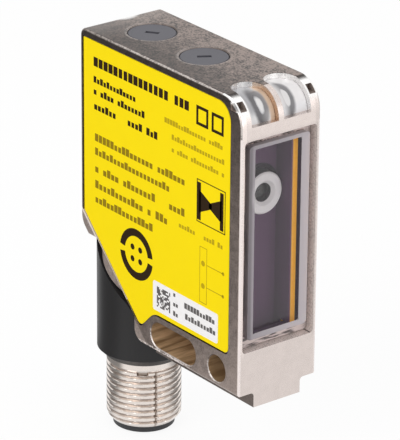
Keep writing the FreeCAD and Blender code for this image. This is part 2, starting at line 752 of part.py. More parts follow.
def swivel_elbow():
    """Return the black elbow: a mitred barrel that flares from the swivel's base, and its neck."""
    seat = swivel_seat()
    radius = ELBOW_DIAMETER / 2.0
    roof = SWIVEL_POINT.z + ELBOW_DIAMETER
    shoulder = ELBOW_BOTTOM + ELBOW_SHOULDER
    barrel = turned(
        [
            (0, ELBOW_BOTTOM),
            (ELBOW_MOUTH / 2.0, ELBOW_BOTTOM),
            (radius, shoulder),
            (radius, roof),
            (0, roof),
        ],
        at(PLUG_X, 0, 0),
        Z_AXIS,
    )
    flare_height = FAR / 2.0
    flare_end = ELBOW_BASE + ELBOW_FLARE * flare_height
    flare = Part.makeCone(ELBOW_BASE, flare_end, flare_height, on_swivel(seat["base"]), OUTWARD)
    neck_radius = NECK_DIAMETER / 2.0
    groove_radius = neck_radius - RETAINER_GROOVE
    seal_floor = neck_radius - SWIVEL_SEAL
    seal_half = SWIVEL_SEAL / 2.0 + FIT_GAP
    end = seat["end"]
    stations = [
        (0, 0),
        (neck_radius, 0),
        (neck_radius, seat["retainer_inner"] - end),
        (groove_radius, seat["retainer_inner"] - end),
        (groove_radius, seat["retainer_outer"] - end),
        (neck_radius, seat["retainer_outer"] - end),
        (neck_radius, seat["seal"] - seal_half - end),
        (seal_floor, seat["seal"] - seal_half - end),
        (seal_floor, seat["seal"] + seal_half - end),
        (neck_radius, seat["seal"] + seal_half - end),
        (neck_radius, seat["base"] + ELBOW_GAP - end),
        (0, seat["base"] + ELBOW_GAP - end),
    ]
    neck = turned(stations, on_swivel(end), OUTWARD)
    elbow = barrel.common(flare).fuse(neck)
    bore_height = ELBOW_BORE_TOP - ELBOW_BOTTOM
    bore = Part.makeCylinder(ELBOW_BORE / 2.0, bore_height, at(PLUG_X, 0, ELBOW_BOTTOM))
    shaft = Part.makeCylinder(SLEEVE_BORE / 2.0 - LINER_WALL, FAR, at(PLUG_X, 0, ELBOW_BOTTOM))
    under_roof = Part.makeCylinder(FAR, FAR, on_swivel(seat["base"] + ELBOW_ROOF), OUTWARD)
    passage_length = seat["base"] + ELBOW_ROOF - end + 2 * OVERLAP
    passage = Part.makeCylinder(NECK_BORE / 2.0, passage_length, on_swivel(end - OVERLAP), OUTWARD)
    return elbow.cut([bore, shaft.common(under_roof), passage])


def swivel_seal():
    """Return the sealing ring on the elbow's neck."""
    section = SWIVEL_SEAL / 2.0 - FIT_GAP / 2.0
    ring_radius = NECK_DIAMETER / 2.0 - SWIVEL_SEAL / 2.0
    return ring(ring_radius, section, on_swivel(swivel_seat()["seal"]), OUTWARD)


def swivel_retainer():
    """Return the flat ring that keeps the elbow's neck in the frame."""
    seat = swivel_seat()
    inner = NECK_DIAMETER / 2.0 - RETAINER_GROOVE
    base = on_swivel(seat["retainer_inner"])
    outer_disc = Part.makeCylinder(RETAINER_DIAMETER / 2.0, RETAINER_THICKNESS, base, OUTWARD)
    return outer_disc.cut(Part.makeCylinder(inner + FIT_GAP, RETAINER_THICKNESS, base, OUTWARD))


def thread_sleeve():
    """Return the metal plug sleeve: collar, undercut, ridges in place of the thread, and tapered end."""
    radius = THREAD_DIAMETER / 2.0
    bore = SLEEVE_BORE / 2.0
    spigot = ELBOW_BORE / 2.0 - FIT_GAP
    undercut = radius - THREAD_UNDERCUT_DEPTH
    first = -THREAD_COLLAR - THREAD_UNDERCUT
    last = -THREAD_LENGTH + THREAD_TAPER
    turns = round((first - last - THREAD_CREST) / THREAD_PITCH)
    step = (first - last - THREAD_CREST) / turns
    ridges = [(radius, first)]
    for turn in range(turns):
        crest_end = first - turn * step - THREAD_CREST
        next_crest = first - (turn + 1) * step
        ridges.append((radius, crest_end))
        ridges.append((radius - THREAD_DEPTH, (crest_end + next_crest) / 2.0))
        ridges.append((radius, next_crest))
    profile = [
        (bore, THREAD_SPIGOT),
        (spigot, THREAD_SPIGOT),
        (spigot, 0),
        (radius, 0),
        (radius, -THREAD_COLLAR),
        (undercut, -THREAD_COLLAR),
        (undercut, first),
        *ridges,
        (radius, last),
        (radius - THREAD_TAPER_DEPTH, -THREAD_LENGTH),
        (bore, -THREAD_LENGTH),
    ]
    return turned(profile, at(PLUG_X, 0, ELBOW_BOTTOM), Z_AXIS)


def insert_levels():
    """Return the contact insert's levels below the elbow: top, base underside and mouth."""
    top = ELBOW_BOTTOM - INSERT_TOP
    return top, top - INSERT_BASE, ELBOW_BOTTOM - THREAD_LENGTH - LINER_PROUD


def pin_places():
    """Return the four contacts' places around the plug's axis."""
    radius = PIN_CIRCLE / 2.0
    return [(PLUG_X + radius * a, radius * b) for a, b in ((1, 0), (0, 1), (-1, 0), (0, -1))]


def contact_insert():
    """Return the moulded cup that lines the sleeve and holds the contacts."""
    top, under, mouth = insert_levels()
    outer = SLEEVE_BORE / 2.0 - FIT_GAP
    inner = outer - LINER_WALL
    profile = [(0, top), (outer, top), (outer, mouth), (inner, mouth), (inner, under), (0, under)]
    cup = turned(profile, at(PLUG_X, 0, 0), Z_AXIS)
    hole = PIN_DIAMETER / 2.0 + FIT_GAP
    starts = [at(x, y, under - OVERLAP) for x, y in pin_places()]
    return cup.cut([Part.makeCylinder(hole, 2 * INSERT_BASE, start) for start in starts])


def contact_pins():
    """Return the four contacts, each with a bevelled tip."""
    top, _, mouth = insert_levels()
    radius = PIN_DIAMETER / 2.0
    tip = mouth + PIN_RECESS
    tail = top + PIN_TAIL
    profile = [(0, tail), (radius, tail), (radius, tip + radius), (radius / 2.0, tip), (0, tip)]
    return Part.makeCompound([turned(profile, at(x, y, 0), Z_AXIS) for x, y in pin_places()])


def bent_tube(points, radius, bend):
    """Return a round tube along straight runs joined by tangent arcs of one bend radius."""
    edges = []
    start = points[0]
    for before, corner, after in zip(points, points[1:], points[2:]):
        to_before = (before - corner).normalize()
        to_after = (after - corner).normalize()
        half_angle = to_before.getAngle(to_after) / 2.0
        tangent = bend / math.tan(half_angle)
        enter = corner + to_before * tangent
        leave = corner + to_after * tangent
        middle = corner + (to_before + to_after).normalize() * (bend / math.sin(half_angle) - bend)
        edges.append(Part.LineSegment(start, enter).toShape())
        edges.append(Part.Arc(enter, middle, leave).toShape())
        start = leave
    edges.append(Part.LineSegment(start, points[-1]).toShape())
    section = Part.Wire(Part.Circle(points[0], points[1] - points[0], radius).toShape())
    return Part.Wire(edges).makePipeShell([section], True, False)


def lead_offsets():
    """Return each lead's offset from the plug's axis, and the same one turned to the swivel's axis."""
    spreads = [at((x - PLUG_X) * WIRE_BUNDLE, y * WIRE_BUNDLE, 0) for x, y in pin_places()]
    return [(spread, at(0, spread.y, 0) - OUTWARD.cross(Y_AXIS) * spread.x) for spread in spreads]


def lead_join(side):
    """Return where a lead's two lengths end in the middle of the neck: side 1 outwards, side -1 inwards."""
    middle = (COLLAR_TOP + swivel_seat()["end"]) / 2.0
    return on_swivel(middle + side * WIRE_JOIN_GAP / 2.0)


def plug_leads():
    """Return the leads' outer lengths, which turn with the elbow, from the contacts to the neck's middle."""
    top = insert_levels()[0] + PIN_TAIL
    leads = []
    for (x, y), (spread, offset) in zip(pin_places(), lead_offsets()):
        gather = at(PLUG_X, 0, SWIVEL_POINT.z - WIRE_GATHER) + spread
        points = [
            at(x, y, top),
            at(x, y, (top + gather.z) / 2.0),
            gather,
            SWIVEL_POINT + offset,
            lead_join(1) + offset,
        ]
        leads.append(bent_tube(points, WIRE_DIAMETER / 2.0, WIRE_BEND))
    return Part.makeCompound(leads)


def lead_wires():
    """Return the leads' inner lengths, from the neck's middle to the main board."""
    inside = on_swivel(swivel_seat()["end"] - WIRE_RUN)
    offsets = lead_offsets()
    first_pad = inside.x - (len(offsets) - 1) / 2.0 * WIRE_PADS
    wires = []
    for index, (_, offset) in enumerate(offsets):
        pad = at(first_pad + index * WIRE_PADS, BOARD_Y, inside.z + WIRE_PADS)
        points = [
            lead_join(-1) + offset,
            inside + offset,
            at(pad.x, BOARD_Y - WIRE_PADS, pad.z),
            pad,
        ]
        wires.append(bent_tube(points, WIRE_DIAMETER / 2.0, WIRE_BEND))
    return Part.makeCompound(wires)


def build():
    """Return every piece by its node name."""
    parts = {
        "housing_frame": housing_frame(),
        "label_side_cover": side_cover(-1),
        "plain_side_cover": side_cover(1),
        "label_side_seal": cover_seal(-1),
        "plain_side_seal": cover_seal(1),
        "rating_label": rating_label(),
        "serial_sticker": serial_sticker(),
        "front_window": front_window(),
        "window_seal": window_seal(),
        "optics_carrier": optics_carrier(),
        "laser_barrel": laser_barrel(),
        "collimator_lens": collimator_lens(),
        "laser_diode": laser_diode(),
        "main_board": main_board(),
        "board_chips": board_chips(),
        "indicator_board": indicator_board(),
        "swivel_elbow": swivel_elbow(),
        "swivel_seal": swivel_seal(),
        "swivel_retainer": swivel_retainer(),
        "thread_sleeve": thread_sleeve(),
        "contact_insert": contact_insert(),
        "contact_pins": contact_pins(),
        "plug_leads": plug_leads(),
        "lead_wires": lead_wires(),
    }
    for side, centre_y in lens_centres().items():
        parts["indicator_lens_" + side] = indicator_lens(centre_y)
        parts["indicator_led_" + side] = indicator_led(centre_y)
    for name, x in ADJUSTER_POSITIONS.items():
        parts["adjuster_" + name] = adjuster(x, ADJUSTER_SLOT_ANGLES[name])
        parts["adjuster_seal_" + name] = adjuster_seal(x)
        parts["trimmer_" + name] = trimmer(x)
    return parts


os.makedirs("parts", exist_ok=True)
for node, shape in build().items():
    shape.exportStep("parts/" + node + ".step")
    print(node, "solids", len(shape.Solids), "volume", round(shape.Volume, 2), "valid", shape.isValid())
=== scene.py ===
"""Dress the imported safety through-beam sensor and set it in a white studio.

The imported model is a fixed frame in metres. Its origin is the centre of the round mounting hole, +X is the
way the beam leaves the window, +Z is up and -Y is the label side. Sizes are in millimetres, apart from the
studio's, which are in metres.
"""
import logging
import math
from dataclasses import dataclass, field
from enum import Enum
from functools import cached_property, reduce
from typing import Any, Dict, Iterable, List, Mapping, Optional, Sequence, Tuple, Union

import bmesh
import bpy
from mathutils import Matrix, Vector


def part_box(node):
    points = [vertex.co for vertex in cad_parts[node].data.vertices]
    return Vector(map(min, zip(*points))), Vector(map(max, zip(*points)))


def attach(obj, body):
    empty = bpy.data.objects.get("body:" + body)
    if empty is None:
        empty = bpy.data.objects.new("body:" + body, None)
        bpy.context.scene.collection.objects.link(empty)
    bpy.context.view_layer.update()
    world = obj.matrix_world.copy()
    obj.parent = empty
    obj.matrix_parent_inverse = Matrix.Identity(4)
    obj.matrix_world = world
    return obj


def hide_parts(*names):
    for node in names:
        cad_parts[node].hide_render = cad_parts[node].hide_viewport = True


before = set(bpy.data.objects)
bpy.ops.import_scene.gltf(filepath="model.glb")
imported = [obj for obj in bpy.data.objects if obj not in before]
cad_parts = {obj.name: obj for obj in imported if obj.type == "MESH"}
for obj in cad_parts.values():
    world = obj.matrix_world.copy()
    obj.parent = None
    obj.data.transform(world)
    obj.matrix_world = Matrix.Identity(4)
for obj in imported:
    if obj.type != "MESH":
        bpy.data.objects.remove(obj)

LOG = logging.getLogger("beam_sensor")
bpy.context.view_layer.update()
MM = 0.001
WELD = 2e-6

Rgb = Tuple[float, float, float]
Place = Tuple[float, float, float]
Point2 = Tuple[float, float]
Bar = Tuple[Point2, Point2, float]
Dot = Tuple[Point2, float]
Key = Union[str, int]
Inputs = Mapping[Key, Any]
Settings = Optional[Mapping[str, Any]]
Operand = Union["Value", float]
Triple = Tuple["Value", "Value", "Value"]
Socket = bpy.types.NodeSocket
Mesh = bpy.types.Mesh

WHITE: Rgb = (1.0, 1.0, 1.0)
BLACK: Rgb = (0.0, 0.0, 0.0)

# How thick print is, and how far short of a face a zone stops.
PRINT = 0.012
HAIR = 0.05

# The least share of a direction that leans to an axis, faces it, is square on to it or lies flat to it.
LEANING = 0.7
FACING = 0.8
SQUARE = 0.9
FLAT = 0.97

# The rays that see a thing: those that the camera, a gloss or a clear piece sends out.
SEEN = ("Camera", "Glossy", "Transmission")

# How fine a noise is along each axis: even, or streaky along Y, along Z or round an upright axis.
EVEN: Place = (1.0, 1.0, 1.0)
ALONG_Y: Place = (1.0, 0.12, 1.0)
ALONG_Z: Place = (1.0, 1.0, 0.06)
ROUND_Z: Place = (0.05, 0.05, 1.0)


class Body(str, Enum):
    """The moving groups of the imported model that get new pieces."""

    HOUSING = "housing"
    SWIVEL = "swivel"


class Slot(str, Enum):
    """The record's material slot names, which are passed with new pieces but not used."""

    FRAME = "frame_metal"
    SLEEVE = "sleeve_nickel"
    DARK = "chip_black"


class InputKind(str, Enum):
    """The kinds of input that a geometry rule can have."""

    NUMBER = "NodeSocketFloat"
    COUNT = "NodeSocketInt"
    FINISH = "NodeSocketMaterial"


class Value:
    """A number that a node tree works out, written in ordinary arithmetic."""

    def __init__(self, graph: "Graph", socket: Socket) -> None:
        """Wrap a socket of one tree."""
        self.graph = graph
        self.socket = socket

    def __add__(self, other: Operand) -> "Value":
        """Add a number."""
        return self.graph.math("ADD", self, other)

    def __radd__(self, other: Operand) -> "Value":
        """Add to a number."""
        return self.graph.math("ADD", other, self)

    def __sub__(self, other: Operand) -> "Value":
        """Take a number away."""
        return self.graph.math("SUBTRACT", self, other)

    def __rsub__(self, other: Operand) -> "Value":
        """Take this away from a number."""
        return self.graph.math("SUBTRACT", other, self)

    def __mul__(self, other: Operand) -> "Value":
        """Multiply by a number."""
        return self.graph.math("MULTIPLY", self, other)

    def __rmul__(self, other: Operand) -> "Value":
        """Multiply a number."""
        return self.graph.math("MULTIPLY", other, self)

    def __truediv__(self, other: Operand) -> "Value":
        """Divide by a number."""
        return self.graph.math("DIVIDE", self, other)

    def __abs__(self) -> "Value":
        """Return the size without its sign."""
        return self.graph.math("ABSOLUTE", self)

    def least(self, other: Operand) -> "Value":
        """Return the smaller of two numbers."""
        return self.graph.math("MINIMUM", self, other)

    def most(self, other: Operand) -> "Value":
        """Return the larger of two numbers."""
        return self.graph.math("MAXIMUM", self, other)

    def above(self, edge: Operand) -> "Value":
        """Return 1 where this is above an edge, and otherwise 0."""
        return self.graph.math("GREATER_THAN", self, edge)

    def below(self, edge: Operand) -> "Value":
        """Return 1 where this is below an edge, and otherwise 0."""
        return self.graph.math("LESS_THAN", self, edge)

    def between(self, low: Operand, high: Operand) -> "Value":
        """Return 1 between two edges, and otherwise 0."""
        return self.above(low) * self.below(high)

    def fraction(self) -> "Value":
        """Return the part after the whole number."""
        return self.graph.math("FRACT", self)

    def clamped(self) -> "Value":
        """Return this kept between 0 and 1."""
        return self.most(0.0).least(1.0)

    def hypot(self, other: "Value") -> "Value":
        """Return the length of an arrow with this and another number as its two parts."""
        return self.graph.math("SQRT", self * self + other * other)

    def ramp(self, low: float, high: float) -> "Value":
        """Return a smooth rise from 0 at one edge to 1 at the other."""
        inputs = {"Value": self, "From Min": low, "From Max": high}
        return self.graph.value("ShaderNodeMapRange", inputs, {"interpolation_type": "SMOOTHSTEP"})


class Graph:
    """A node tree that nodes are added to by type, settings and inputs."""

    def __init__(self, tree: bpy.types.NodeTree) -> None:
        """Keep the tree."""
        self.tree = tree

    def node(self, kind: str, inputs: Optional[Inputs] = None, settings: Settings = None) -> bpy.types.Node:
        """Add one node.

        Args:
            kind: the node's type.
            inputs: values or links of its sockets, by name or place.
            settings: its properties, set before its inputs.

        Returns:
            The new node.
        """
        node = self.tree.nodes.new(kind)
        for name, setting in (settings or {}).items():
            setattr(node, name, setting)
        self.fill(node, inputs or {})
        return node

    def fill(self, node: bpy.types.Node, inputs: Inputs) -> None:
        """Link a node's sockets to others, or set their values.

        Args:
            node: the node.
            inputs: values or links of its sockets, by name or place.
        """
        for key, content in inputs.items():
            source = content.socket if isinstance(content, Value) else content
            if isinstance(source, Socket):
                self.tree.links.new(source, node.inputs[key])
            else:
                node.inputs[key].default_value = source

    def output(self, kind: str, inputs: Optional[Inputs] = None) -> Socket:
        """Add one node and return its first output."""
        return self.node(kind, inputs).outputs[0]

    def value(self, kind: str, inputs: Inputs, settings: Settings = None, place: int = 0) -> Value:
        """Add one node and return one of its outputs as a number."""
        return Value(self, self.node(kind, inputs, settings).outputs[place])

    def math(self, operation: str, first: Operand, second: Optional[Operand] = None) -> Value:
        """Add a Math node.

        Args:
            operation: the node's operation.
            first: its first number.
            second: its second number, where the operation has one.

        Returns:
            The result.
        """
        inputs: Dict[Key, Any] = {0: first}
        if second is not None:
            inputs[1] = second
        return self.value("ShaderNodeMath", inputs, {"operation": operation})

    def split(self, vector: Socket) -> Triple:
        """Return a vector's three parts."""
        x, y, z = self.node("ShaderNodeSeparateXYZ", {0: vector}).outputs
        return Value(self, x), Value(self, y), Value(self, z)

    def join(self, x: Operand, y: Operand, z: Operand) -> Socket:
        """Return a vector of three numbers."""
        return self.output("ShaderNodeCombineXYZ", {0: x, 1: y, 2: z})


class ShaderGraph(Graph):
    """A shader's node tree, with the few patterns that the finishes and the studio share."""

    def __init__(self, tree: bpy.types.NodeTree) -> None:
        """Keep the tree and drop its first nodes."""
        super().__init__(tree)
        tree.nodes.clear()

    @cached_property
    def _coordinates(self) -> bpy.types.Node:
        """Return the tree's only coordinate node, made on first use."""
        return self.node("ShaderNodeTexCoord")

    def spot(self) -> Triple:
        """Return the point's place in the part's frame, in millimetres."""
        x, y, z = self.split(self._coordinates.outputs["Object"])
        return x / MM, y / MM, z / MM

    def way(self) -> Triple:
        """Return the surface's direction in the part's frame."""
        return self.split(self._coordinates.outputs["Normal"])

    def ray(self, *kinds: str) -> Value:
        """Return 1 for a ray of any of some kinds, such as Glossy, and otherwise 0."""
        outputs = self.node("ShaderNodeLightPath").outputs
        return reduce(Value.most, (Value(self, outputs[f"Is {kind} Ray"]) for kind in kinds))

    def noise(self, grain_mm: float, detail: float = 3.0, stretch: Place = EVEN) -> Value:
        """Add cloud noise.

        Args:
            grain_mm: the size of its grains.
            detail: how many finer layers it has.
            stretch: how much finer it is along each axis.

        Returns:
            The noise, about 0.5 on average.
        """
        inputs = {"Vector": self._coordinates.outputs["Object"], "Scale": stretch}
        mapped = self.output("ShaderNodeMapping", inputs)
        inputs = {"Vector": mapped, "Scale": 1.0 / (grain_mm * MM), "Detail": detail}
        return self.value("ShaderNodeTexNoise", inputs)

    def blend(self, factor: Operand, first: Any, second: Any) -> Socket:
        """Mix two colours.

        Args:
            factor: 0 for the first colour, 1 for the second.
            first: a colour or a colour socket.
            second: a colour or a colour socket.

        Returns:
            The mixed colour's socket.
        """
        settings = {"data_type": "RGBA", "clamp_factor": True}
        node = self.node("ShaderNodeMix", {0: factor, 6: solid(first), 7: solid(second)}, settings)
        return node.outputs[2]

    def toned(self, color: Rgb, share: Value) -> Socket:
        """Return a colour made lighter or darker by a share that varies, from 0 to 2."""
        return self.blend(share * 0.5, BLACK, shade(color, 2.0))

    def mix(self, factor: Operand, first: Socket, second: Socket) -> Socket:
        """Return a mix of two shaders: 0 gives the first, 1 the second."""
        return self.output("ShaderNodeMixShader", {0: factor, 1: first, 2: second})

    def bump(self, height: Value, depth_mm: float) -> Socket:
        """Return the normal of a relief, whose height from 0 to 1 stands for a depth."""
        return self.output("ShaderNodeBump", {"Strength": 1.0, "Distance": depth_mm * MM, "Height": height})


def solid(color: Any) -> Any:
    """Give a plain colour its alpha, and leave a socket as it is."""
    return (*color, 1.0) if isinstance(color, tuple) else color


def shade(color: Rgb, share: float) -> Rgb:
    """Make a colour lighter or darker by a share."""
    return color[0] * share, color[1] * share, color[2] * share


def polar(centre: Point2, radius: float, angle: float) -> Point2:
    """Return the point at a radius and an angle, in radians, round a centre."""
    return centre[0] + radius * math.cos(angle), centre[1] + radius * math.sin(angle)


def in_scene(name: str, data: bpy.types.ID) -> bpy.types.Object:
    """Make an object and put it in the scene.

    Args:
        name: the object's name.
        data: its mesh, its lamp or its camera.

    Returns:
        The object.
    """
    made = bpy.data.objects.new(name, data)
    bpy.context.scene.collection.objects.link(made)
    return made


@dataclass(frozen=True)
class Finish:
    """A moulded or painted surface with a fine grain in its colour, gloss and relief.

    Attributes:
        name: the material's name.
        color: its colour, in linear light.
        roughness: its mean roughness.
        metallic: 1 for bare metal.
        specular: the strength of its clear reflection, 0.5 for common plastic.
        mottle: how far its colour varies, as a share.
        grain_mm: the size of its grain.
        relief_mm: the height of its grain.
        uneven: how far its roughness varies.
    """

    name: str
    color: Rgb
    roughness: float
    metallic: float = 0.0
    specular: float = 0.5
    mottle: float = 0.08
    grain_mm: float = 0.3
    relief_mm: float = 0.002
    uneven: float = 0.16

    def material(self) -> bpy.types.Material:
        """Make the finish's material on first use, and find it later.

        Returns:
            The material.
        """
        made = bpy.data.materials.get(self.name)
        if made is None:
            made = bpy.data.materials.new(self.name)
            made.use_nodes = True
            graph = ShaderGraph(made.node_tree)
            graph.node("ShaderNodeOutputMaterial", {"Surface": self.surface(graph)})
        return made

    def surface(self, graph: ShaderGraph) -> Socket:
        """Build the whole surface.

        Args:
            graph: the material's tree.

        Returns:
            The shader's socket.
        """
        constants = {"Metallic": self.metallic, "Specular IOR Level": self.specular}
        shader = graph.node("ShaderNodeBsdfPrincipled", constants)
        graph.fill(shader, self.dress(graph))
        return shader.outputs[0]

    def dress(self, graph: ShaderGraph) -> Inputs:
        """Work out what the surface's main shader is fed.

        Args:
            graph: the material's tree.

        Returns:
            The sockets' contents by name.
        """
        grain = graph.noise(self.grain_mm)
        return {
            "Base Color": self.mottled(graph, grain, self.color),
            "Roughness": self.roughness + (grain - 0.5) * self.uneven,
            "Normal": graph.bump(grain, self.relief_mm),
        }

    def mottled(self, graph: ShaderGraph, grain: Value, color: Rgb) -> Socket:
        """Return a colour that a grain makes darker and lighter by the finish's share."""
        return graph.blend(grain, shade(color, 1.0 - self.mottle), shade(color, 1.0 + self.mottle))


@dataclass(frozen=True)
class FramePlan:
    """Where the cast frame's faces and the zones on them lie.

    Attributes:
        half_width, front, top, rear, foot: the places of the sides, front, top, rear and lower face.
        slant: from the origin to the slanted face.
        slack: how far a zone reaches past the face that it belongs to.
        edge, slant_edge, foot_edge: how far the painted highlights on the outer edges and on those two
            faces' edges reach.
        foot_fade: where the lower face's edge fades out towards the front.
        wall, strip_low: the width of the strips beside the window, and where they fade in.
        above_window: where the bar above the window fades in below the top.
        pocket, pocket_drop: how far the lens pockets reach back from the front and down from the top.
        skim: how far below the top they begin.
        lens_wall, lens_margin: where the far pocket begins along Y, and from a side to inside a lens.
        opening, opening_drop, opening_low: the window opening's depth and its upper and lower end.
        inside_rear: how far back the inside shows through the window.
        plate_front, plate_top: the ends of the plate with the mounting holes.
        bore_radius, bore_rear, bore_rim: the holes' largest radius, rear end and width of rim.
        notch, notch_depth: how far the rounded corner's notches reach in and back.
        notch_span: where they begin and end below the top.
        web, web_edge: from a side into the web that closes a notch, and where the painted highlight on its
            edge sets in.
        corner, corner_ends: the rounded corner's radius, and where the painted highlights at its ends begin
            and are whole.
        pocket_glint: how far the painted highlight on the lens pockets' rear wall reaches down from the top.
        rear_glint, rear_glint_y: the half sizes and the place of the painted highlight on the rear top edge.
        rear_sheen_fade: how far from the rear the top edge's painted highlight is weaker.
        band: the height of the band of painted shade over the label.
        discs, disc_radius, disc_rim: the adjusters' places, their holes' radius and their rims' fading.
    """

    half_width: float = 7.5
    front: float = 5.4
    top: float = 44.9
    rear: float = -34.8
    foot: float = -2.8
    slant: float = 14.15
    slack: float = 0.1
    edge: float = 0.42
    slant_edge: float = 0.35
    foot_edge: float = 0.5
    foot_fade: Point2 = (-10.0, -5.0)
    wall: float = 1.0
    strip_low: Point2 = (3.0, 5.0)
    above_window: Point2 = (6.6, 6.0)
    pocket: float = 7.6
    pocket_drop: float = 5.2
    skim: float = 0.06
    lens_wall: float = 1.5
    lens_margin: float = 3.2
    opening: float = 2.5
    opening_drop: float = 6.0
    opening_low: float = 4.0
    inside_rear: float = -5.4
    plate_front: float = 2.6
    plate_top: float = 3.2
    bore_radius: float = 2.25
    bore_rear: float = -17.0
    bore_rim: float = 0.2
    notch: float = 1.65
    notch_depth: float = 2.65
    notch_span: Point2 = (0.75, 2.05)
    web: float = 0.4
    web_edge: Point2 = (0.75, 0.45)
    corner: float = 4.5
    corner_ends: Point2 = (3.0, 2.2)
    pocket_glint: float = 3.0
    rear_glint: Point2 = (1.9, 2.5)
    rear_glint_y: float = 1.0
    rear_sheen_fade: float = 18.0
    band: float = 1.7
    discs: Point2 = (-13.25, -26.3)
    disc_radius: float = 3.95
    disc_rim: Point2 = (0.1, 0.5)


class FrameZones:
    """The zones of the cast frame that look different, each from 0 outside to 1 inside."""

    # Where a zone sets in and is whole, as shares of the surface's direction along an axis.
    ROUNDED_EDGE = (0.86, 0.985)
    LIT_EDGE = (0.05, 0.4)
    FRONT_LINE = (0.2, 0.6)
    BRINK_LOW = (0.88, 0.93)
    BRINK_HIGH = (0.985, 0.998)
    CORNER_LOW = (0.3, 0.6)
    CORNER_HIGH = (0.9, 0.98)
    BORE_RIM = (0.3, 0.6)
    DISC_FACE = 0.5
    POCKET_FACE = 0.4
    PATCH_FACE = 0.25

    # The grain at which the lower edge's painted highlight breaks up, and where the rear painted highlight
    # fades, in its half sizes.
    HIGHLIGHT_BREAKUP = (0.25, 0.65)
    PATCH_FADE = (0.6, 1.1)

    # How strong the rear painted highlight is, the front's share of light, how much painted highlight the
    # top edge loses at the rear, and the wear and painted highlight of the adjusters' holes' rims at the
    # mid-plane and per millimetre from it.
    PATCH_SHARE = 0.85
    FRONT_LIGHT = 0.6
    REAR_SHEEN_LOSS = 0.6
    DISC_WEAR_AND_SHEEN = (0.25, 0.06)

    def __init__(self, graph: ShaderGraph, plan: FramePlan) -> None:
        """Read the point's place and direction once for all zones.

        Args:
            graph: the material's tree.
            plan: where the frame's faces lie.
        """
        self.plan = plan
        self.x, self.y, self.z = graph.spot()
        self.nx, self.ny, self.nz = graph.way()
        self.aside = abs(self.y)
        self.squareness = abs(self.nx).most(abs(self.ny)).most(abs(self.nz))

    def outward(self) -> Value:
        """Return how far the point lies out along the slanted face's direction."""
        return (self.x + self.z) * -math.sqrt(0.5)

    def across(self) -> Value:
        """Return a rise from the label side to the plain side."""
        return self.y.ramp(-self.plan.half_width, self.plan.half_width)

    def beside(self, reach: float) -> Value:
        """Return what lies within a reach of a side."""
        return self.aside.above(self.plan.half_width - reach)

    def within(self, reach: float) -> Value:
        """Return what lies further in from the sides than a reach."""
        return self.aside.below(self.plan.half_width - reach)

    def ahead(self, depth: float) -> Value:
        """Return what lies within a depth of the front."""
        return self.x.above(self.plan.front - depth)

    def high(self, drop: float) -> Value:
        """Return what lies within a drop of the top."""
        return self.z.above(self.plan.top - drop)

    def low(self, drop: float) -> Value:
        """Return what lies further down from the top than a drop."""
        return self.z.below(self.plan.top - drop)

    def upper(self) -> Value:
        """Return the faces that look up."""
        return self.nz.above(SQUARE)

    def flank(self) -> Value:
        """Return the two sides."""
        return abs(self.ny).above(FACING)

    def lit_machined_front(self) -> Value:
        """Return the machined front face, which takes the brighter tone that stands in for the light it
        reflects.
        """
        return self.nx.ramp(FACING, FLAT) * self.ahead(self.plan.edge)

    def strips(self) -> Value:
        """Return the front's strips beside the window."""
        return self.nx.above(SQUARE) * self.beside(self.plan.wall) * self.z.ramp(*self.plan.strip_low)

    def above_window(self) -> Value:
        """Return the front's bar above the window."""
        low, high = (self.plan.top - drop for drop in self.plan.above_window)
        return self.nx.above(SQUARE) * self.z.ramp(low, high)

    def beside_window(self) -> Value:
        """Return the heights that the window's opening spans."""
        return self.z.above(self.plan.opening_low) * self.low(self.plan.opening_drop)

    def inside(self) -> Value:
        """Return the walls inside the housing, behind the window."""
        depth = self.x.between(self.plan.inside_rear, self.plan.front - self.plan.opening)
        return self.within(self.plan.wall) * self.beside_window() * depth

    def opening(self) -> Value:
        """Return the walls of the window's opening."""
        depth = self.x.between(self.plan.front - self.plan.opening, self.plan.front - HAIR)
        return self.within(self.plan.edge) * self.beside_window() * depth * (1.0 - self.nx.above(LEANING))

    def pockets(self) -> Value:
        """Return the rounded corner and the lens pockets in it."""
        corner = self.ahead(self.plan.pocket) * self.high(self.plan.pocket_drop) * self.low(self.plan.skim)
        return corner * (1.0 - self.flank() * self.beside(self.plan.edge))

    def pocket_walls(self) -> Value:
        """Return the lens pockets' walls that look towards the label side."""
        between_notches = self.within(self.plan.notch + self.plan.slack)
        return self.pockets() * (0.0 - self.ny).above(FACING) * between_notches

    def rims(self) -> Value:
        """Find the edges that show wear with a painted highlight: the outer ones, and the lit half of the
        mounting holes' rims.

        Returns:
            The zone, weaker on the top edge near the rear.
        """
        plan = self.plan
        rounded = 1.0 - self.squareness.ramp(*self.ROUNDED_EDGE)
        plate = self.z.between(-plan.bore_radius - plan.bore_rim, plan.plate_top)
        plate = plate * self.x.below(plan.plate_front)
        lit = (1.0 - plate).most((self.nx * self.FRONT_LIGHT + self.nz).ramp(*self.LIT_EDGE))
        near_rear = 1.0 - self.x.ramp(plan.rear, plan.rear + plan.rear_sheen_fade)
        fade = 1.0 - self.high(plan.edge) * near_rear * self.REAR_SHEEN_LOSS
        return rounded * self.beside(plan.edge) * lit * fade

    def lines(self, grain: Value) -> Value:
        """Find the painted highlight lines along the edges of the front, the slanted face and the lower
        face.

        Args:
            grain: the mottling, from 0 to 1, which breaks up the lower edge.

        Returns:
            The zone.
        """
        plan = self.plan
        front = self.ahead(plan.edge) * self.nx.ramp(*self.FRONT_LINE) * self.low(plan.opening_drop)
        slant = self.outward().between(plan.slant - plan.slant_edge, plan.slant)
        slant = slant * self.z.above(plan.plate_top)
        lower = self.z.between(plan.foot - plan.slack, plan.foot + plan.foot_edge)
        lower = lower * (1.0 - self.x.ramp(*plan.foot_fade)) * grain.ramp(*self.HIGHLIGHT_BREAKUP)
        return self.beside(plan.edge) * front.most(slant).most(lower)

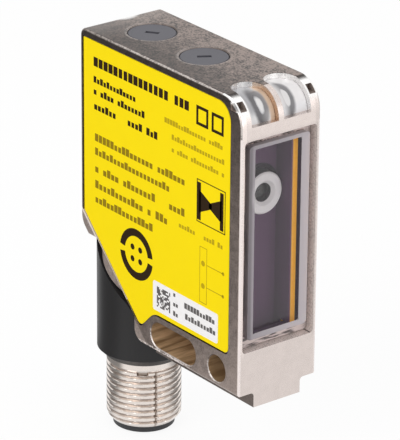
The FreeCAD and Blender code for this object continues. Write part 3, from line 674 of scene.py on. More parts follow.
    def reflected_dark_band(self) -> Value:
        """Return the painted dark reflection at the upper end of the rounded corner, beside the lenses."""
        band = self.nz.ramp(*self.BRINK_LOW) * (1.0 - self.nz.ramp(*self.BRINK_HIGH))
        return self.beside(self.plan.lens_margin) * self.ahead(self.plan.pocket) * band

    def disc_rims(self) -> Value:
        """Find the rims of the adjusters' holes, which show wear with a painted highlight.

        Returns:
            The zone, strongest towards the label.
        """
        first, second = ((self.x - disc).hypot(self.y) for disc in self.plan.discs)
        away = first.least(second) - self.plan.disc_radius
        wear = (self.DISC_WEAR_AND_SHEEN[0] - self.y * self.DISC_WEAR_AND_SHEEN[1]).clamped()
        return self.nz.above(self.DISC_FACE) * (1.0 - away.ramp(*self.plan.disc_rim)) * wear

    def rear_glint(self) -> Value:
        """Find the painted highlight on the rear top edge.

        Returns:
            The zone.
        """
        along, across = self.plan.rear_glint
        away = ((self.x - self.plan.rear) / along).hypot((self.y - self.plan.rear_glint_y) / across)
        return (1.0 - away.ramp(*self.PATCH_FADE)) * self.nz.above(self.PATCH_FACE) * self.PATCH_SHARE

    def corner_glints(self) -> Value:
        """Find the painted highlights at the ends of the rounded corner, beside the lenses.

        Returns:
            The zone.
        """
        plan = self.plan
        ends = self.aside.ramp(*(plan.half_width - reach for reach in plan.corner_ends))
        rounded = self.nz.ramp(*self.CORNER_LOW) * (1.0 - self.nz.ramp(*self.CORNER_HIGH))
        return ends * rounded * self.ahead(plan.corner + plan.slack) * self.high(plan.pocket_drop)

    def pocket_glint(self) -> Value:
        """Find the painted highlight on the lens pockets' rear wall.

        Returns:
            The zone.
        """
        plan = self.plan
        depth = self.x.between(plan.front - plan.pocket, plan.front - plan.corner + plan.slack)
        return depth * self.nx.above(self.POCKET_FACE) * self.high(plan.pocket_glint) * self.low(HAIR)

    def by_notch(self) -> Value:
        """Find the flat faces in and beside the two notches of the rounded corner.

        Returns:
            The zone.
        """
        plan = self.plan
        span = self.low(plan.notch_span[0]) * self.high(plan.notch_span[1])
        return self.beside(plan.notch) * self.ahead(plan.notch_depth) * span * self.squareness.above(FLAT)

    def web_glints(self) -> Value:
        """Find the painted highlights on the rounded edges of the webs that close the notches.

        Returns:
            The zone.
        """
        plan = self.plan
        reach = (self.x - plan.front + plan.corner).hypot(self.z - plan.top + plan.corner)
        edge = reach.ramp(*(plan.corner - inset for inset in plan.web_edge))
        return self.by_notch() * self.beside(plan.web) * edge

    def glints(self) -> Value:
        """Return all painted highlights."""
        lens_glints = self.corner_glints().most(self.pocket_glint()).most(self.web_glints())
        return self.rear_glint().most(lens_glints)

    def notches(self) -> Value:
        """Return the inside of the rounded corner's notches, up to the webs that close them."""
        return self.by_notch() * self.within(self.plan.web)

    def bores(self) -> Value:
        """Return the walls of the mounting holes."""
        wall = (1.0 - abs(self.ny).ramp(*self.BORE_RIM)) * abs(self.z).below(self.plan.bore_radius)
        return wall * self.x.between(self.plan.bore_rear, self.plan.bore_radius)


@dataclass(frozen=True)
class CastMetal(Finish):
    """The nickel-plated die-casting: mottled skin, machined front, stained bores and edges with wear, and
    painted light: brighter faces, painted highlights and painted shade.

    Attributes:
        plan: where the frame's faces lie.
        machined, rubbed, glare: the colours of the machined front, painted brighter to stand in for the
            light it reflects, of the edges' wear with its painted highlight, and of the painted highlights.
        line, warm: the colours of the painted highlight lines on the outer edges, and of the painted tan
            reflection on the wall between the lenses.
        bore, stain, inner: the colours of the mounting holes, their streaks and the housing's inside.
        broad_grain, contrast: the slow mottling's grain, in fine grains, and how strongly both kinds show.
        side_mottle, top_mottle: how far the skin's tone varies, and how much further on top.
        top_light_tilt: painted light: how much paler the top is painted towards the plain side.
        top_front, top_front_light_gain: painted light: where the top is painted paler towards the front, and
            by how much.
        band_shade: painted shade: how much darker the band over the label is painted.
        rear_reach, rear_light_cover: painted light: how far the paler rear of the top reaches, and how pale
            it is painted.
        flank_fade: where the sides' lower part, painted paler as painted light, fades out.
        plate_fade, plate_shade: where it is less pale above the plate, and by how much.
        pale_share, lower_light_cover, pale_mottle: how much paler that painted light makes it, how dense,
        and how far its tone varies.
        machined_mottle: how far the machined metal's tone varies.
        strip_light_gain, strip_tilt: painted light: how much brighter the strips are painted by the label,
            and what they lose across.
        above_window_light_gain: painted light: how much brighter the bar above the window is painted.
        least_edge_sheen: how strong an edge's wear and painted highlight are where the grain is dark.
        reflected_dark_share, notch_share, far_wall_reflection: how bright the painted dark reflection beside
        the lenses is, how light the notches are painted to lift their shade, and how bright the painted pale
        reflection on the far lens pocket's wall is.
        streak_mm, streak_span: the streaks' width, and where their noise turns from stained to bare.
        round_hole, round_darkening: where the round hole turns darker, and by how much.
        polish, smoothing: how much smoother the machined metal is, and how much flatter its grain.
        opening_matt, line_matt, collar_matt, notch_matt: how far those zones are from bare metal.
    """

    plan: FramePlan = FramePlan()
    machined: Rgb = (0.70, 0.62, 0.585)
    wear_and_sheen: Rgb = (0.60, 0.55, 0.52)
    glare: Rgb = (0.93, 0.92, 0.91)
    line: Rgb = (0.86, 0.77, 0.74)
    warm_reflection: Rgb = (0.74, 0.58, 0.46)
    bore: Rgb = (0.66, 0.45, 0.26)
    stain: Rgb = (0.24, 0.145, 0.07)
    inner: Rgb = (0.088, 0.036, 0.085)
    uneven: float = 0.2
    broad_grain: float = 4.0
    contrast: Point2 = (2.6, 1.5)
    side_mottle: float = 0.45
    top_mottle: float = 1.15
    top_light_tilt: float = 0.85
    top_front: Point2 = (-14.0, -4.0)
    top_front_light_gain: float = 0.25
    band_shade: float = 0.4
    rear_reach: float = 8.0
    rear_light_cover: float = 0.2
    flank_fade: Point2 = (20.0, 46.0)
    plate_fade: float = 8.0
    plate_shade: float = 0.12
    pale_share: float = 2.7
    lower_light_cover: float = 0.7
    pale_mottle: float = 0.4
    machined_mottle: float = 0.14
    strip_light_gain: float = 0.2
    strip_tilt: float = 0.32
    above_window_light_gain: float = 0.1
    least_edge_sheen: float = 0.2
    reflected_dark_share: float = 0.3
    notch_share: float = 1.8
    far_wall_reflection: float = 0.9
    streak_mm: float = 0.9
    streak_span: Point2 = (0.35, 0.68)
    round_hole: Point2 = (-4.0, -1.0)
    round_darkening: float = 0.6
    polish: float = 0.3
    smoothing: float = 0.9
    opening_matt: float = 0.8
    line_matt: float = 0.8
    collar_matt: float = 0.6
    notch_matt: float = 0.9

    def dress(self, graph: ShaderGraph) -> Inputs:
        """Lay the zones' tones over the skin, one after the other, and work out their gloss.

        Args:
            graph: the material's tree.

        Returns:
            The sockets' contents by name.
        """
        zones = FrameZones(graph, self.plan)
        fine = graph.noise(self.grain_mm, detail=4.0)
        broad = graph.noise(self.grain_mm * self.broad_grain)
        grain = ((fine - 0.5) * self.contrast[0] + (broad - 0.5) * self.contrast[1] + 0.5).clamped()
        opening, inside, bores = zones.opening(), zones.inside(), zones.bores()
        lines, notches, pocket_walls = zones.lines(grain), zones.notches(), zones.pocket_walls()
        # Painted light: the front, the lens pockets and the opening's walls take the machined tone, painted
        # brighter than the skin to stand in for the light they reflect.
        bright = zones.pockets().most(opening).most(zones.lit_machined_front())
        # The edges show wear with a painted highlight, broken up by the grain.
        wear_and_highlight = zones.rims().most(zones.disc_rims()) * (self.least_edge_sheen + grain).clamped()
        coats = (
            (bright, self._lit_machined_tone(graph, zones, broad)),
            (wear_and_highlight, self.wear_and_sheen),
            # Painted highlight lines along the outer edges.
            (lines, self.line),
            # Painted dark reflection at the upper end of the rounded corner.
            (zones.reflected_dark_band(), shade(self.color, self.reflected_dark_share)),
            # Painted highlights on the rear top edge, the corner, the lens pockets and the webs.
            (zones.glints(), self.glare),
            # The notches' insides are painted matt and lighter than the skin, to lift the shade inside them.
            (notches, shade(self.color, self.notch_share)),
            # Painted reflections on the lens pockets' walls: tan on the wall between the lenses, pale on the
            # far wall.
            (pocket_walls * zones.y.below(self.plan.lens_wall), self.warm_reflection),
            (pocket_walls * zones.y.above(self.plan.lens_wall), shade(self.glare, self.far_wall_reflection)),
            (inside, self.inner),
            (bores, self._stained(graph, zones)),
        )
        color = self._skin(graph, zones, grain)
        for zone, coat in coats:
            color = graph.blend(zone, color, coat)
        collar = zones.outward().above(self.plan.slant)
        matt = bores.most(inside).most(opening * self.opening_matt).most(lines * self.line_matt)
        matt = matt.most(collar * self.collar_matt).most(notches * self.notch_matt)
        rough = self.roughness + (grain - 0.5) * self.uneven
        return {
            "Base Color": color,
            "Metallic": 1.0 - matt,
            "Roughness": rough * (1.0 - bright * self.polish),
            "Normal": graph.bump(fine * (1.0 - bright * self.smoothing), self.relief_mm),
        }

    def _skin(self, graph: ShaderGraph, zones: FrameZones, grain: Value) -> Socket:
        """Tone the cast skin with painted light and shade: darker towards the label on top, painted shade on
        the band over the label, and paler low on the sides and near the rear.

        Args:
            graph: the material's tree.
            zones: the frame's zones.
            grain: the mottling, from 0 to 1.

        Returns:
            The colour's socket.
        """
        plan, x, z = self.plan, zones.x, zones.z
        upper, flank = zones.upper(), zones.flank()
        share = 1.0 + (grain - 0.5) * (self.side_mottle + upper * self.top_mottle)
        # Painted light: the top is painted paler towards the plain side and the front, and the band over the
        # label gets painted shade.
        share = share * (1.0 + upper * (zones.across() - 0.5) * self.top_light_tilt)
        share = share * (1.0 - flank * zones.high(plan.band) * self.band_shade)
        share = share * (1.0 + upper * x.ramp(*self.top_front) * self.top_front_light_gain)
        skin = graph.toned(self.color, share)
        # Painted light: the rear of the top is painted paler.
        near_rear = 1.0 - x.ramp(plan.rear, plan.rear + self.rear_reach)
        skin = graph.blend(upper * near_rear * self.rear_light_cover, skin, self.wear_and_sheen)
        # Painted light: the lower sides and the slanted face are painted paler.
        low = flank * (1.0 - z.ramp(*self.flank_fade))
        low = low * (1.0 - z.ramp(plan.plate_top, self.plate_fade) * self.plate_shade)
        slanted = zones.outward().above(plan.slant - plan.slack)
        pale = low.most(slanted) * z.above(plan.foot - plan.slack) * self.lower_light_cover
        paler = graph.toned(shade(self.color, self.pale_share), 1.0 + (grain - 0.5) * self.pale_mottle)
        return graph.blend(pale, skin, paler)

    def _lit_machined_tone(self, graph: ShaderGraph, zones: FrameZones, broad: Value) -> Socket:
        """Tone the machined metal, painted brighter than the skin to stand in for the light it reflects: the
        front's strips beside the window are painted brighter still towards the label.

        Args:
            graph: the material's tree.
            zones: the frame's zones.
            broad: the slow mottling, about 0.5 on average.

        Returns:
            The colour's socket.
        """
        share = 1.0 + (broad - 0.5) * self.machined_mottle
        share = share + zones.strips() * (self.strip_light_gain - zones.across() * self.strip_tilt)
        return graph.toned(self.machined, share + zones.above_window() * self.above_window_light_gain)

    def _stained(self, graph: ShaderGraph, zones: FrameZones) -> Socket:
        """Tone the mounting holes: streaks along them, and darker in the round one.

        Args:
            graph: the material's tree.
            zones: the frame's zones.

        Returns:
            The colour's socket.
        """
        bare = graph.noise(self.streak_mm, stretch=ALONG_Y).ramp(*self.streak_span)
        bare = bare * (1.0 - zones.x.ramp(*self.round_hole) * self.round_darkening)
        return graph.blend(bare, self.stain, self.bore)


@dataclass(frozen=True)
class TurnedMetal(Finish):
    """Plated turned metal with fine marks around its upright axis.

    Attributes:
        stain_grain: the grain of its broad stains, as a multiple of the marks' grain.
        stain_rough: how far the stains vary its roughness.
    """

    uneven: float = 0.12
    stain_grain: float = 8.0
    stain_rough: float = 0.1

    def dress(self, graph: ShaderGraph) -> Inputs:
        """Feed the shader from rings that follow the tool's path, and from broad stains.

        Args:
            graph: the material's tree.

        Returns:
            The sockets' contents by name.
        """
        rings = graph.noise(self.grain_mm, detail=2.0, stretch=ROUND_Z)
        stain = graph.noise(self.grain_mm * self.stain_grain)
        rough = self.roughness + (rings - 0.5) * self.uneven + (stain - 0.5) * self.stain_rough
        return {
            "Base Color": self.mottled(graph, stain, self.color),
            "Roughness": rough,
            "Normal": graph.bump(rings, self.relief_mm),
        }


@dataclass(frozen=True)
class ThreadMetal(TurnedMetal):
    """Turned metal with a thread whose valleys are painted darker as painted shade, and whose seam and key
    slot are painted darker.

    Attributes:
        axis, top: the thread's axis along X, and the sleeve's upper end.
        crest, root: the radii of its crests and of its valleys.
        shine: how far below the crests the metal is fully bright.
        valley, grime: the colours of its valleys, painted shade, and of the seam and the key slot, painted
            darker.
        seam, seam_half: the place and half the width of the seam's darker band round the axis, in degrees.
        seam_core, seam_cover: how much of that half is fully dark, and how dense the darker band is.
        key: where the key slot begins and ends round the axis, in degrees.
        key_drop: where it begins and ends below the top.
    """

    axis: float = 0.0
    crest: float = 6.0
    root: float = 5.4
    shine: float = 0.06
    top: float = 0.0
    valley: Rgb = (0.66, 0.615, 0.585)
    groove_dark: Rgb = (0.36, 0.30, 0.26)
    seam: float = -18.0
    seam_half: float = 3.0
    seam_core: float = 0.4
    seam_cover: float = 0.7
    key: Point2 = (-48.0, -31.0)
    key_drop: Point2 = (1.4, 1.88)

    def mottled(self, graph: ShaderGraph, grain: Value, color: Rgb) -> Socket:
        """Paint shade where the wall lies deep, and paint the seam and the key slot darker.

        Args:
            graph: the material's tree.
            grain: the mottling, from 0 to 1.
            color: the metal's colour.

        Returns:
            The colour's socket.
        """
        x, y, z = graph.spot()
        ahead, drop = x - self.axis, self.top - z
        bright = ahead.hypot(y).ramp(self.root, self.crest - self.shine)
        # Painted shade: the valleys are painted darker than the crests.
        metal = graph.blend(bright, self.valley, super().mottled(graph, grain, color))
        turn = graph.math("ARCTAN2", y, ahead) * math.degrees(1.0)
        # The seam and the key slot are painted darker.
        beside = abs(turn - self.seam).ramp(self.seam_half * self.seam_core, self.seam_half)
        seam = (1.0 - beside) * drop.above(self.key_drop[0]) * self.seam_cover
        slot = turn.between(*self.key) * drop.between(*self.key_drop)
        return graph.blend(seam.most(slot), metal, self.groove_dark)


@dataclass(frozen=True)
class ClearGlass(Finish):
    """Clear moulding that light passes through.

    Attributes:
        bend: its refractive index.
    """

    uneven: float = 0.03
    bend: float = 1.49

    def surface(self, graph: ShaderGraph) -> Socket:
        """Build the clear body, which lets lamp light and scattered light straight through.

        Args:
            graph: the material's tree.

        Returns:
            The shader's socket.
        """
        clear = super().surface(graph)
        open_way = graph.output("ShaderNodeBsdfTransparent", {"Color": solid(self.color)})
        return graph.mix(graph.ray("Shadow", "Diffuse"), clear, open_way)

    def dress(self, graph: ShaderGraph) -> Inputs:
        """Set the clear body and work out a faint haze.

        Args:
            graph: the material's tree.

        Returns:
            The sockets' contents by name.
        """
        return {
            "Base Color": solid(self.color),
            "Transmission Weight": 1.0,
            "IOR": self.bend,
            "Roughness": self.roughness + graph.noise(self.grain_mm, detail=2.0) * self.uneven,
        }


@dataclass(frozen=True)
class WindowGlass(ClearGlass):
    """The window: a clear field in a matt border, with streaks of painted shade in the groove around it.

    Attributes:
        border, border_light_tones: the sloping border's colour, and how bright it is painted by the label
            and across, as painted light.
        edge_shade_tone, edge_shade_span: how bright the painted shade along its outer edge by the label is,
            and where that shade fades.
        flange, unshaded_groove_tone: the colour of the flange below the border, and how bright it is where
            the painted shade leaves it.
        groove_shade_tones, groove_shade_fade: how bright the painted shade in the groove is by the label and
            across, and how fast that changes.
        back, plateau: where the flange begins and ends, along X.
        side, low, high: half the clear field's width, and its lower and its upper edge.
        slope: the width of the border at the ends.
        groove_streak_mm, groove_streak_span: the width of the painted shade's streaks in the groove, and
            where their noise leaves the flange unshaded.
        frost_mm, frost: the matt border's grain, its least roughness and how far that varies.
        cover: how dense the border is.
    """

    border: Rgb = (0.48, 0.44, 0.465)
    border_light_tones: Point2 = (0.9, 1.2)
    edge_shade_tone: float = 0.5
    edge_shade_span: Point2 = (0.9, 0.2)
    flange: Rgb = (0.66, 0.56, 0.54)
    groove_shade_tones: Point2 = (0.22, 0.8)
    groove_shade_fade: float = 0.5
    unshaded_groove_tone: float = 1.4
    back: float = 3.6
    plateau: float = 4.2
    side: float = 4.4
    low: float = 6.75
    high: float = 36.55
    slope: float = 0.75
    groove_streak_mm: float = 0.35
    groove_streak_span: Point2 = (0.40, 0.58)
    frost_mm: float = 0.6
    frost: Point2 = (0.4, 0.2)
    cover: float = 0.75

    def surface(self, graph: ShaderGraph) -> Socket:
        """Mix the clear body with the matt border and the groove.

        Args:
            graph: the material's tree.

        Returns:
            The shader's socket.
        """
        clear = super().surface(graph)
        x, y, z = graph.spot()
        color = graph.blend(x.above(self.plateau), self._groove(graph, y, z), self._bevel(graph, y))
        least, span = self.frost
        inputs = {"Base Color": color, "Roughness": least + graph.noise(self.frost_mm, detail=4.0) * span}
        matt = graph.output("ShaderNodeBsdfPrincipled", inputs)
        outside = abs(y).above(self.side).most(z.below(self.low)).most(z.above(self.high))
        return graph.mix(outside * x.above(self.back) * self.cover, clear, matt)

    def _bevel(self, graph: ShaderGraph, y: Value) -> Socket:
        """Tone the sloping border with painted light: brighter towards the plain side, with painted shade
        along the label side's edge.

        Args:
            graph: the material's tree.
            y: the place along Y.

        Returns:
            The colour's socket.
        """
        near, far = (shade(self.border, tone) for tone in self.border_light_tones)
        bevel = graph.blend(y.ramp(-self.side, self.side), near, far)
        start, end = (-self.side - reach for reach in self.edge_shade_span)
        return graph.blend(y.ramp(start, end), shade(self.border, self.edge_shade_tone), bevel)

    def _groove(self, graph: ShaderGraph, y: Value, z: Value) -> Socket:
        """Tone the groove: streaks of painted shade that follow the window's edge.

        Args:
            graph: the material's tree.
            y: the place along Y.
            z: the place along Z.

        Returns:
            The colour's socket.
        """
        ends = z.below(self.low - self.slope).most(z.above(self.high + self.slope))
        across, upright = (graph.noise(self.groove_streak_mm, stretch=stretch) for stretch in (ALONG_Y, ALONG_Z))
        bare = (ends * across + (1.0 - ends) * upright).ramp(*self.groove_streak_span)
        # Painted shade in the groove's streaks, darker by the label.
        dark, pale = (shade(self.flange, tone) for tone in self.groove_shade_tones)
        shaded_groove = graph.blend(y.ramp(self.side, self.side + self.groove_shade_fade), dark, pale)
        return graph.blend(bare, shaded_groove, shade(self.flange, self.unshaded_groove_tone))


@dataclass(frozen=True)
class LensGlass(ClearGlass):
    """A corner lens: clear, with the pale light, a crescent of painted shade round it, painted highlight and
    reflection, and the milky rest showing in it.

    Attributes:
        axis_x, axis_z: the corner's axis.
        spot, half_width: the light's place along Y, and half its width.
        half_angle: half its length round the corner, in radians.
        wobble_mm, wobble: the grain that makes its outline uneven, and by how many half widths.
        light_edge, ring_start, ring_end: where the light fades, and where the crescent sets in and fades, in
            half widths.
        side, round_ring: how much stronger the crescent is towards +Y, and how strong beside the light.
        low_end: where the lower end's colour turns into the rest's, in radians from the front.
        wall, wall_fade: where the next wall's painted tan reflection begins along Y, and how fast.
        rim, rim_fade: where the painted highlight along the rim begins towards -Y, and how fast.
        light, ring, rest, low, warm: the colours of the light, the crescent of painted shade, the rest, the
            lower end and the painted reflection.
        gloss, gloss_span: the roughness over the light and its rise away from it, and where that lies.
        milk: how dense what shows in the lens is.
    """

    axis_x: float = 0.9
    axis_z: float = 40.4
    spot: float = 0.0
    half_width: float = 0.55
    half_angle: float = 0.34
    wobble_mm: float = 0.8
    wobble: float = 0.4
    light_edge: Point2 = (0.7, 1.3)
    ring_start: Point2 = (1.0, 1.5)
    ring_end: Point2 = (2.4, 3.8)
    side: float = 1.0
    round_ring: float = 0.8
    low_end: Point2 = (0.22, 0.60)
    wall: float = 9.0
    wall_fade: float = 0.5
    rim: float = 4.5
    rim_fade: float = 0.7
    light: Rgb = (0.95, 0.93, 0.93)
    ring: Rgb = (0.15, 0.145, 0.155)
    rest: Rgb = (0.92, 0.90, 0.92)
    low: Rgb = (0.96, 0.95, 0.97)
    warm_reflection: Rgb = (0.72, 0.54, 0.40)
    gloss: Point2 = (0.2, 0.1)
    gloss_span: Point2 = (0.5, 2.0)
    milk: float = 0.8

    def surface(self, graph: ShaderGraph) -> Socket:
        """Mix the clear body with what shows in it.

        Args:
            graph: the material's tree.

        Returns:
            The shader's socket.
        """
        clear = super().surface(graph)
        x, y, z = graph.spot()
        round_corner = graph.math("ARCTAN2", z - self.axis_z, x - self.axis_x)
        across = (y - self.spot) / self.half_width
        along = (round_corner - math.pi / 4.0) / self.half_angle
        away = across.hypot(along) + (graph.noise(self.wobble_mm) - 0.5) * self.wobble
        leaning = (across * self.side + self.round_ring).clamped()
        # Painted shade: a dark crescent round the light.
        crescent = away.ramp(*self.ring_start) * (1.0 - away.ramp(*self.ring_end)) * leaning
        color = graph.blend(round_corner.ramp(*self.low_end), self.low, self.rest)
        tones = (
            (crescent, self.ring),
            (1.0 - away.ramp(*self.light_edge), self.light),
            # A painted tan reflection of the next wall, and a painted highlight along the rim.
            (y.ramp(self.wall, self.wall + self.wall_fade), self.warm_reflection),
            ((0.0 - y).ramp(self.rim, self.rim + self.rim_fade), self.light),
        )
        for zone, tone in tones:
            color = graph.blend(zone, color, tone)
        rough = self.gloss[0] + away.ramp(*self.gloss_span) * self.gloss[1]
        milky = graph.output("ShaderNodeBsdfPrincipled", {"Base Color": color, "Roughness": rough})
        return graph.mix(self.milk, clear, milky)


@dataclass(frozen=True)
class ShadedMoulding(Finish):
    """Dark moulding with a painted shadow round the barrel that it holds, widest above it.

    Attributes:
        axis_y: the barrel's axis along Y.
        axis_z: the barrel's axis along Z.
        radius: the barrel's radius.
        reach: how wide the painted shadow is above the barrel.
        core: how much of the painted shadow is fully dark.
        shadow_tone: how bright the painted shadow is.
    """

    axis_y: float = 0.0
    axis_z: float = 0.0
    radius: float = 3.0
    reach: float = 0.8
    core: float = 0.4
    shadow_tone: float = 0.2

    def mottled(self, graph: ShaderGraph, grain: Value, color: Rgb) -> Socket:
        """Paint a shadow on the moulding near the barrel.

        Args:
            graph: the material's tree.
            grain: the mottling, from 0 to 1.
            color: the moulding's colour.

        Returns:
            The colour's socket.
        """
        _, y, z = graph.spot()
        away = (y - self.axis_y).hypot(z - self.axis_z - self.reach * 0.5) - self.radius
        plain = super().mottled(graph, grain, color)
        return graph.blend(away.ramp(self.reach * self.core, self.reach), shade(color, self.shadow_tone), plain)


@dataclass(frozen=True)
class EndFaced(Finish):
    """A piece whose ends along X have the finish's colour, and whose flanks have another.

    Attributes:
        flank: the colour of the flanks.
        bare: where the ends' own colour begins, along Y.
        fade: how far that colour takes to set in.
    """

    uneven: float = 0.2
    flank: Rgb = (0.088, 0.036, 0.085)
    bare: float = -50.0
    fade: float = 0.3

    def dress(self, graph: ShaderGraph) -> Inputs:
        """Feed the shader from a fine grain and from the way the surface faces.

        Args:
            graph: the material's tree.

        Returns:
            The sockets' contents by name.
        """
        grain = graph.noise(self.grain_mm)
        half = self.fade / 2.0
        on_end = abs(graph.way()[0]).above(LEANING)
        on_end = on_end * graph.spot()[1].ramp(self.bare - half, self.bare + half)
        return {
            "Base Color": graph.blend(on_end, self.flank, self.mottled(graph, grain, self.color)),
            "Roughness": self.roughness + (grain - 0.5) * self.uneven,
        }


# Name, colour and roughness, and in short: metallic, specular, mottle, grain and relief in that order.
LABEL_FOIL = Finish("label_foil", (1.0, 0.765, 0.004), 0.5, 0.0, 0.04, 0.02, 2.5, 0.001)
STICKER_FOIL = Finish("sticker_foil", (0.95, 0.93, 0.935), 0.5, 0.0, 0.3, 0.02, 1.2, 0.001)
BOLD_INK = Finish("bold_ink", (0.030, 0.016, 0.006), 0.6, 0.0, 0.08, 0.3, 0.3, 0.0005)
STICKER_INK = Finish("sticker_ink", (0.13, 0.12, 0.12), 0.6, 0.0, 0.08, 0.3, 0.3, 0.0005)
PLAIN_INK = Finish("plain_ink", (0.30, 0.20, 0.006), 0.6, 0.0, 0.08, 0.3, 0.3, 0.0005)
FAINT_INK = Finish("faint_ink", (0.52, 0.37, 0.006), 0.6, 0.0, 0.08, 0.2, 0.3, 0.0005)
COVER_PLASTIC = Finish("cover_plastic_grain", (0.16, 0.15, 0.145), 0.5, grain_mm=0.18, relief_mm=0.008)
ELBOW_PLASTIC = Finish("elbow_plastic", (0.018, 0.0172, 0.018), 0.40, 0.0, 0.34, 0.2, 0.16, 0.005)
ADJUSTER_PLASTIC = Finish("adjuster_plastic", (0.105, 0.103, 0.12), 0.5, 0.0, 0.4, 0.2, 0.6, 0.006)
# The barrel's flanks are painted near black: painted shade round its bright face.
BARREL_FACE = EndFaced("barrel_face", (0.68, 0.64, 0.65), 0.5, grain_mm=0.3, flank=(0.030, 0.014, 0.028))
SEAL_RUBBER = Finish("seal_rubber", (0.022, 0.022, 0.022), 0.75, grain_mm=0.15, relief_mm=0.004)
WINDOW_RUBBER = Finish("window_rubber", (0.33, 0.28, 0.27), 0.7, grain_mm=0.2, relief_mm=0.004)
INSERT_PLASTIC = Finish("insert_plastic", (0.020, 0.020, 0.022), 0.5, grain_mm=0.2, relief_mm=0.003)
CHIP_RESIN = Finish("chip_resin", (0.020, 0.020, 0.022), 0.6, grain_mm=0.1, relief_mm=0.003)
TRIMMER_RESIN = Finish("trimmer_resin", (0.030, 0.075, 0.22), 0.4, grain_mm=0.3, relief_mm=0.002)
LED_RESIN = Finish("led_resin", (0.84, 0.80, 0.62), 0.3, mottle=0.03, grain_mm=0.3, relief_mm=0.0005)
LEAD_SLEEVING = Finish("lead_sleeving", (0.12, 0.12, 0.14), 0.5, grain_mm=0.2, relief_mm=0.001)
PIN_GOLD = TurnedMetal("pin_gold_plate", (0.95, 0.67, 0.26), 0.22, 1.0, mottle=0.05, grain_mm=0.08)
RETAINER_STEEL = TurnedMetal("retainer_spring_steel", (0.46, 0.46, 0.47), 0.35, 1.0, grain_mm=0.1)
DIODE_PLATE = TurnedMetal("diode_plate", (0.86, 0.66, 0.36), 0.28, 1.0, grain_mm=0.1)
OPTIC_GLASS = ClearGlass("optic_glass_coated", (0.86, 0.62, 0.84), 0.01, grain_mm=3.0)
WINDOW_GLASS = WindowGlass("window_glass", WHITE, 0.01, grain_mm=3.0, bend=1.38)


class GeometryRule:
    """A geometry node tree with named inputs, run to a plain mesh."""

    def __init__(self, name: str) -> None:
        """Start a tree whose first input is the finish of its result.

        Args:
            name: the tree's name.
        """
        self.name = name
        self.tree = bpy.data.node_groups.new(name, "GeometryNodeTree")
        self.tree.interface.new_socket("Geometry", in_out="OUTPUT", socket_type="NodeSocketGeometry")
        self.graph = Graph(self.tree)
        self._entry = self.graph.node("NodeGroupInput")
        self._identifiers: Dict[str, str] = {}
        self._finish = self.take("Finish", InputKind.FINISH)

    def take(self, name: str, kind: InputKind = InputKind.NUMBER) -> Value:
        """Add a named input.

        Args:
            name: the input's name.
            kind: what it holds.

        Returns:
            What the input brings in.
        """
        socket = self.tree.interface.new_socket(name, in_out="INPUT", socket_type=kind.value)
        self._identifiers[name] = socket.identifier
        return Value(self.graph, self._entry.outputs[name])

    def take_all(self, *names: str) -> List[Value]:
        """Add several inputs that are numbers, and return what they bring in."""
        return [self.take(name) for name in names]

    def chance(self, seed: Operand) -> Value:
        """Return a number from 0 to 1 that is fixed for each point and seed."""
        return self.graph.value("FunctionNodeRandomValue", {"Seed": seed}, {"data_type": "FLOAT"}, 1)

    def block(self) -> Socket:
        """Return a block of the unit size."""
        return self.graph.output("GeometryNodeMeshCube", {"Size": (1.0, 1.0, 1.0)})

    def close(self, geometry: Socket) -> None:
        """End the tree in plain geometry that carries the finish.

        Args:
            geometry: what the tree has made.
        """
        realized = self.graph.output("GeometryNodeRealizeInstances", {0: geometry})
        inputs = {"Geometry": realized, "Material": self._finish}
        painted = self.graph.output("GeometryNodeSetMaterial", inputs)
        self.graph.node("NodeGroupOutput", {0: painted})

    def run(self, finish: Finish, sizes: Mapping[str, float], numbers: Mapping[str, float]) -> Mesh:
        """Work the rule out for one set of inputs.

        Args:
            finish: the finish of the result.
            sizes: the inputs that are sizes, in millimetres, by name.
            numbers: the other inputs, by name.

        Returns:
            A plain mesh of its own.
        """
        holder = in_scene(self.name, bpy.data.meshes.new(self.name))
        modifier = holder.modifiers.new(self.name, "NODES")
        modifier.node_group = self.tree
        modifier[self._identifiers["Finish"]] = finish.material()
        for name, size in sizes.items():
            modifier[self._identifiers[name]] = size * MM
        for name, number in numbers.items():
            modifier[self._identifiers[name]] = number
        depsgraph = bpy.context.evaluated_depsgraph_get()
        mesh = bpy.data.meshes.new_from_object(holder.evaluated_get(depsgraph), depsgraph=depsgraph)
        bpy.data.objects.remove(holder)
        return mesh


class MarkRow(GeometryRule):
    """A row of small blocks of uneven height, which stands for a line of text.

    Attributes:
        TALL: the chance above which a block is tall.
        GAP: the chance below which a block is left out.
        GAP_SEED: how far the gaps' seed lies from the heights' seed.
        WIDTH: the least width of a block, as a share of the pitch.
        EXTRA: how much wider it can be.
    """

    TALL = 0.68
    GAP = 0.13
    GAP_SEED = 7.0
    WIDTH = 0.66
    EXTRA = 0.22

    def __init__(self) -> None:
        """Build the tree: a line of points that each carry a block, apart from the gaps."""
        super().__init__("mark_row")
        graph = self.graph
        start, pitch, height, low = self.take_all("Start", "Pitch", "Height", "Low")
        level, face, thickness = self.take_all("Level", "Face", "Thickness")
        seed, count = self.take("Seed", InputKind.COUNT), self.take("Count", InputKind.COUNT)
        inputs = {
            "Count": count,
            "Start Location": graph.join(start + pitch * 0.5, face, level),
            "Offset": graph.join(pitch, 0.0, 0.0),
        }
        line = graph.output("GeometryNodeMeshLine", inputs)
        tall, kept = self.chance(seed), self.chance(seed + self.GAP_SEED)
        rise = height * (low + (1.0 - low) * tall.above(self.TALL))
        inputs = {"Geometry": self.block(), "Translation": (0.0, 0.0, 0.5)}
        standing = graph.output("GeometryNodeTransform", inputs)
        inputs = {
            "Points": line,
            "Selection": kept.above(self.GAP),
            "Instance": standing,
            "Scale": graph.join(pitch * (self.WIDTH + self.EXTRA * tall), thickness, rise),
        }
        self.close(graph.output("GeometryNodeInstanceOnPoints", inputs))


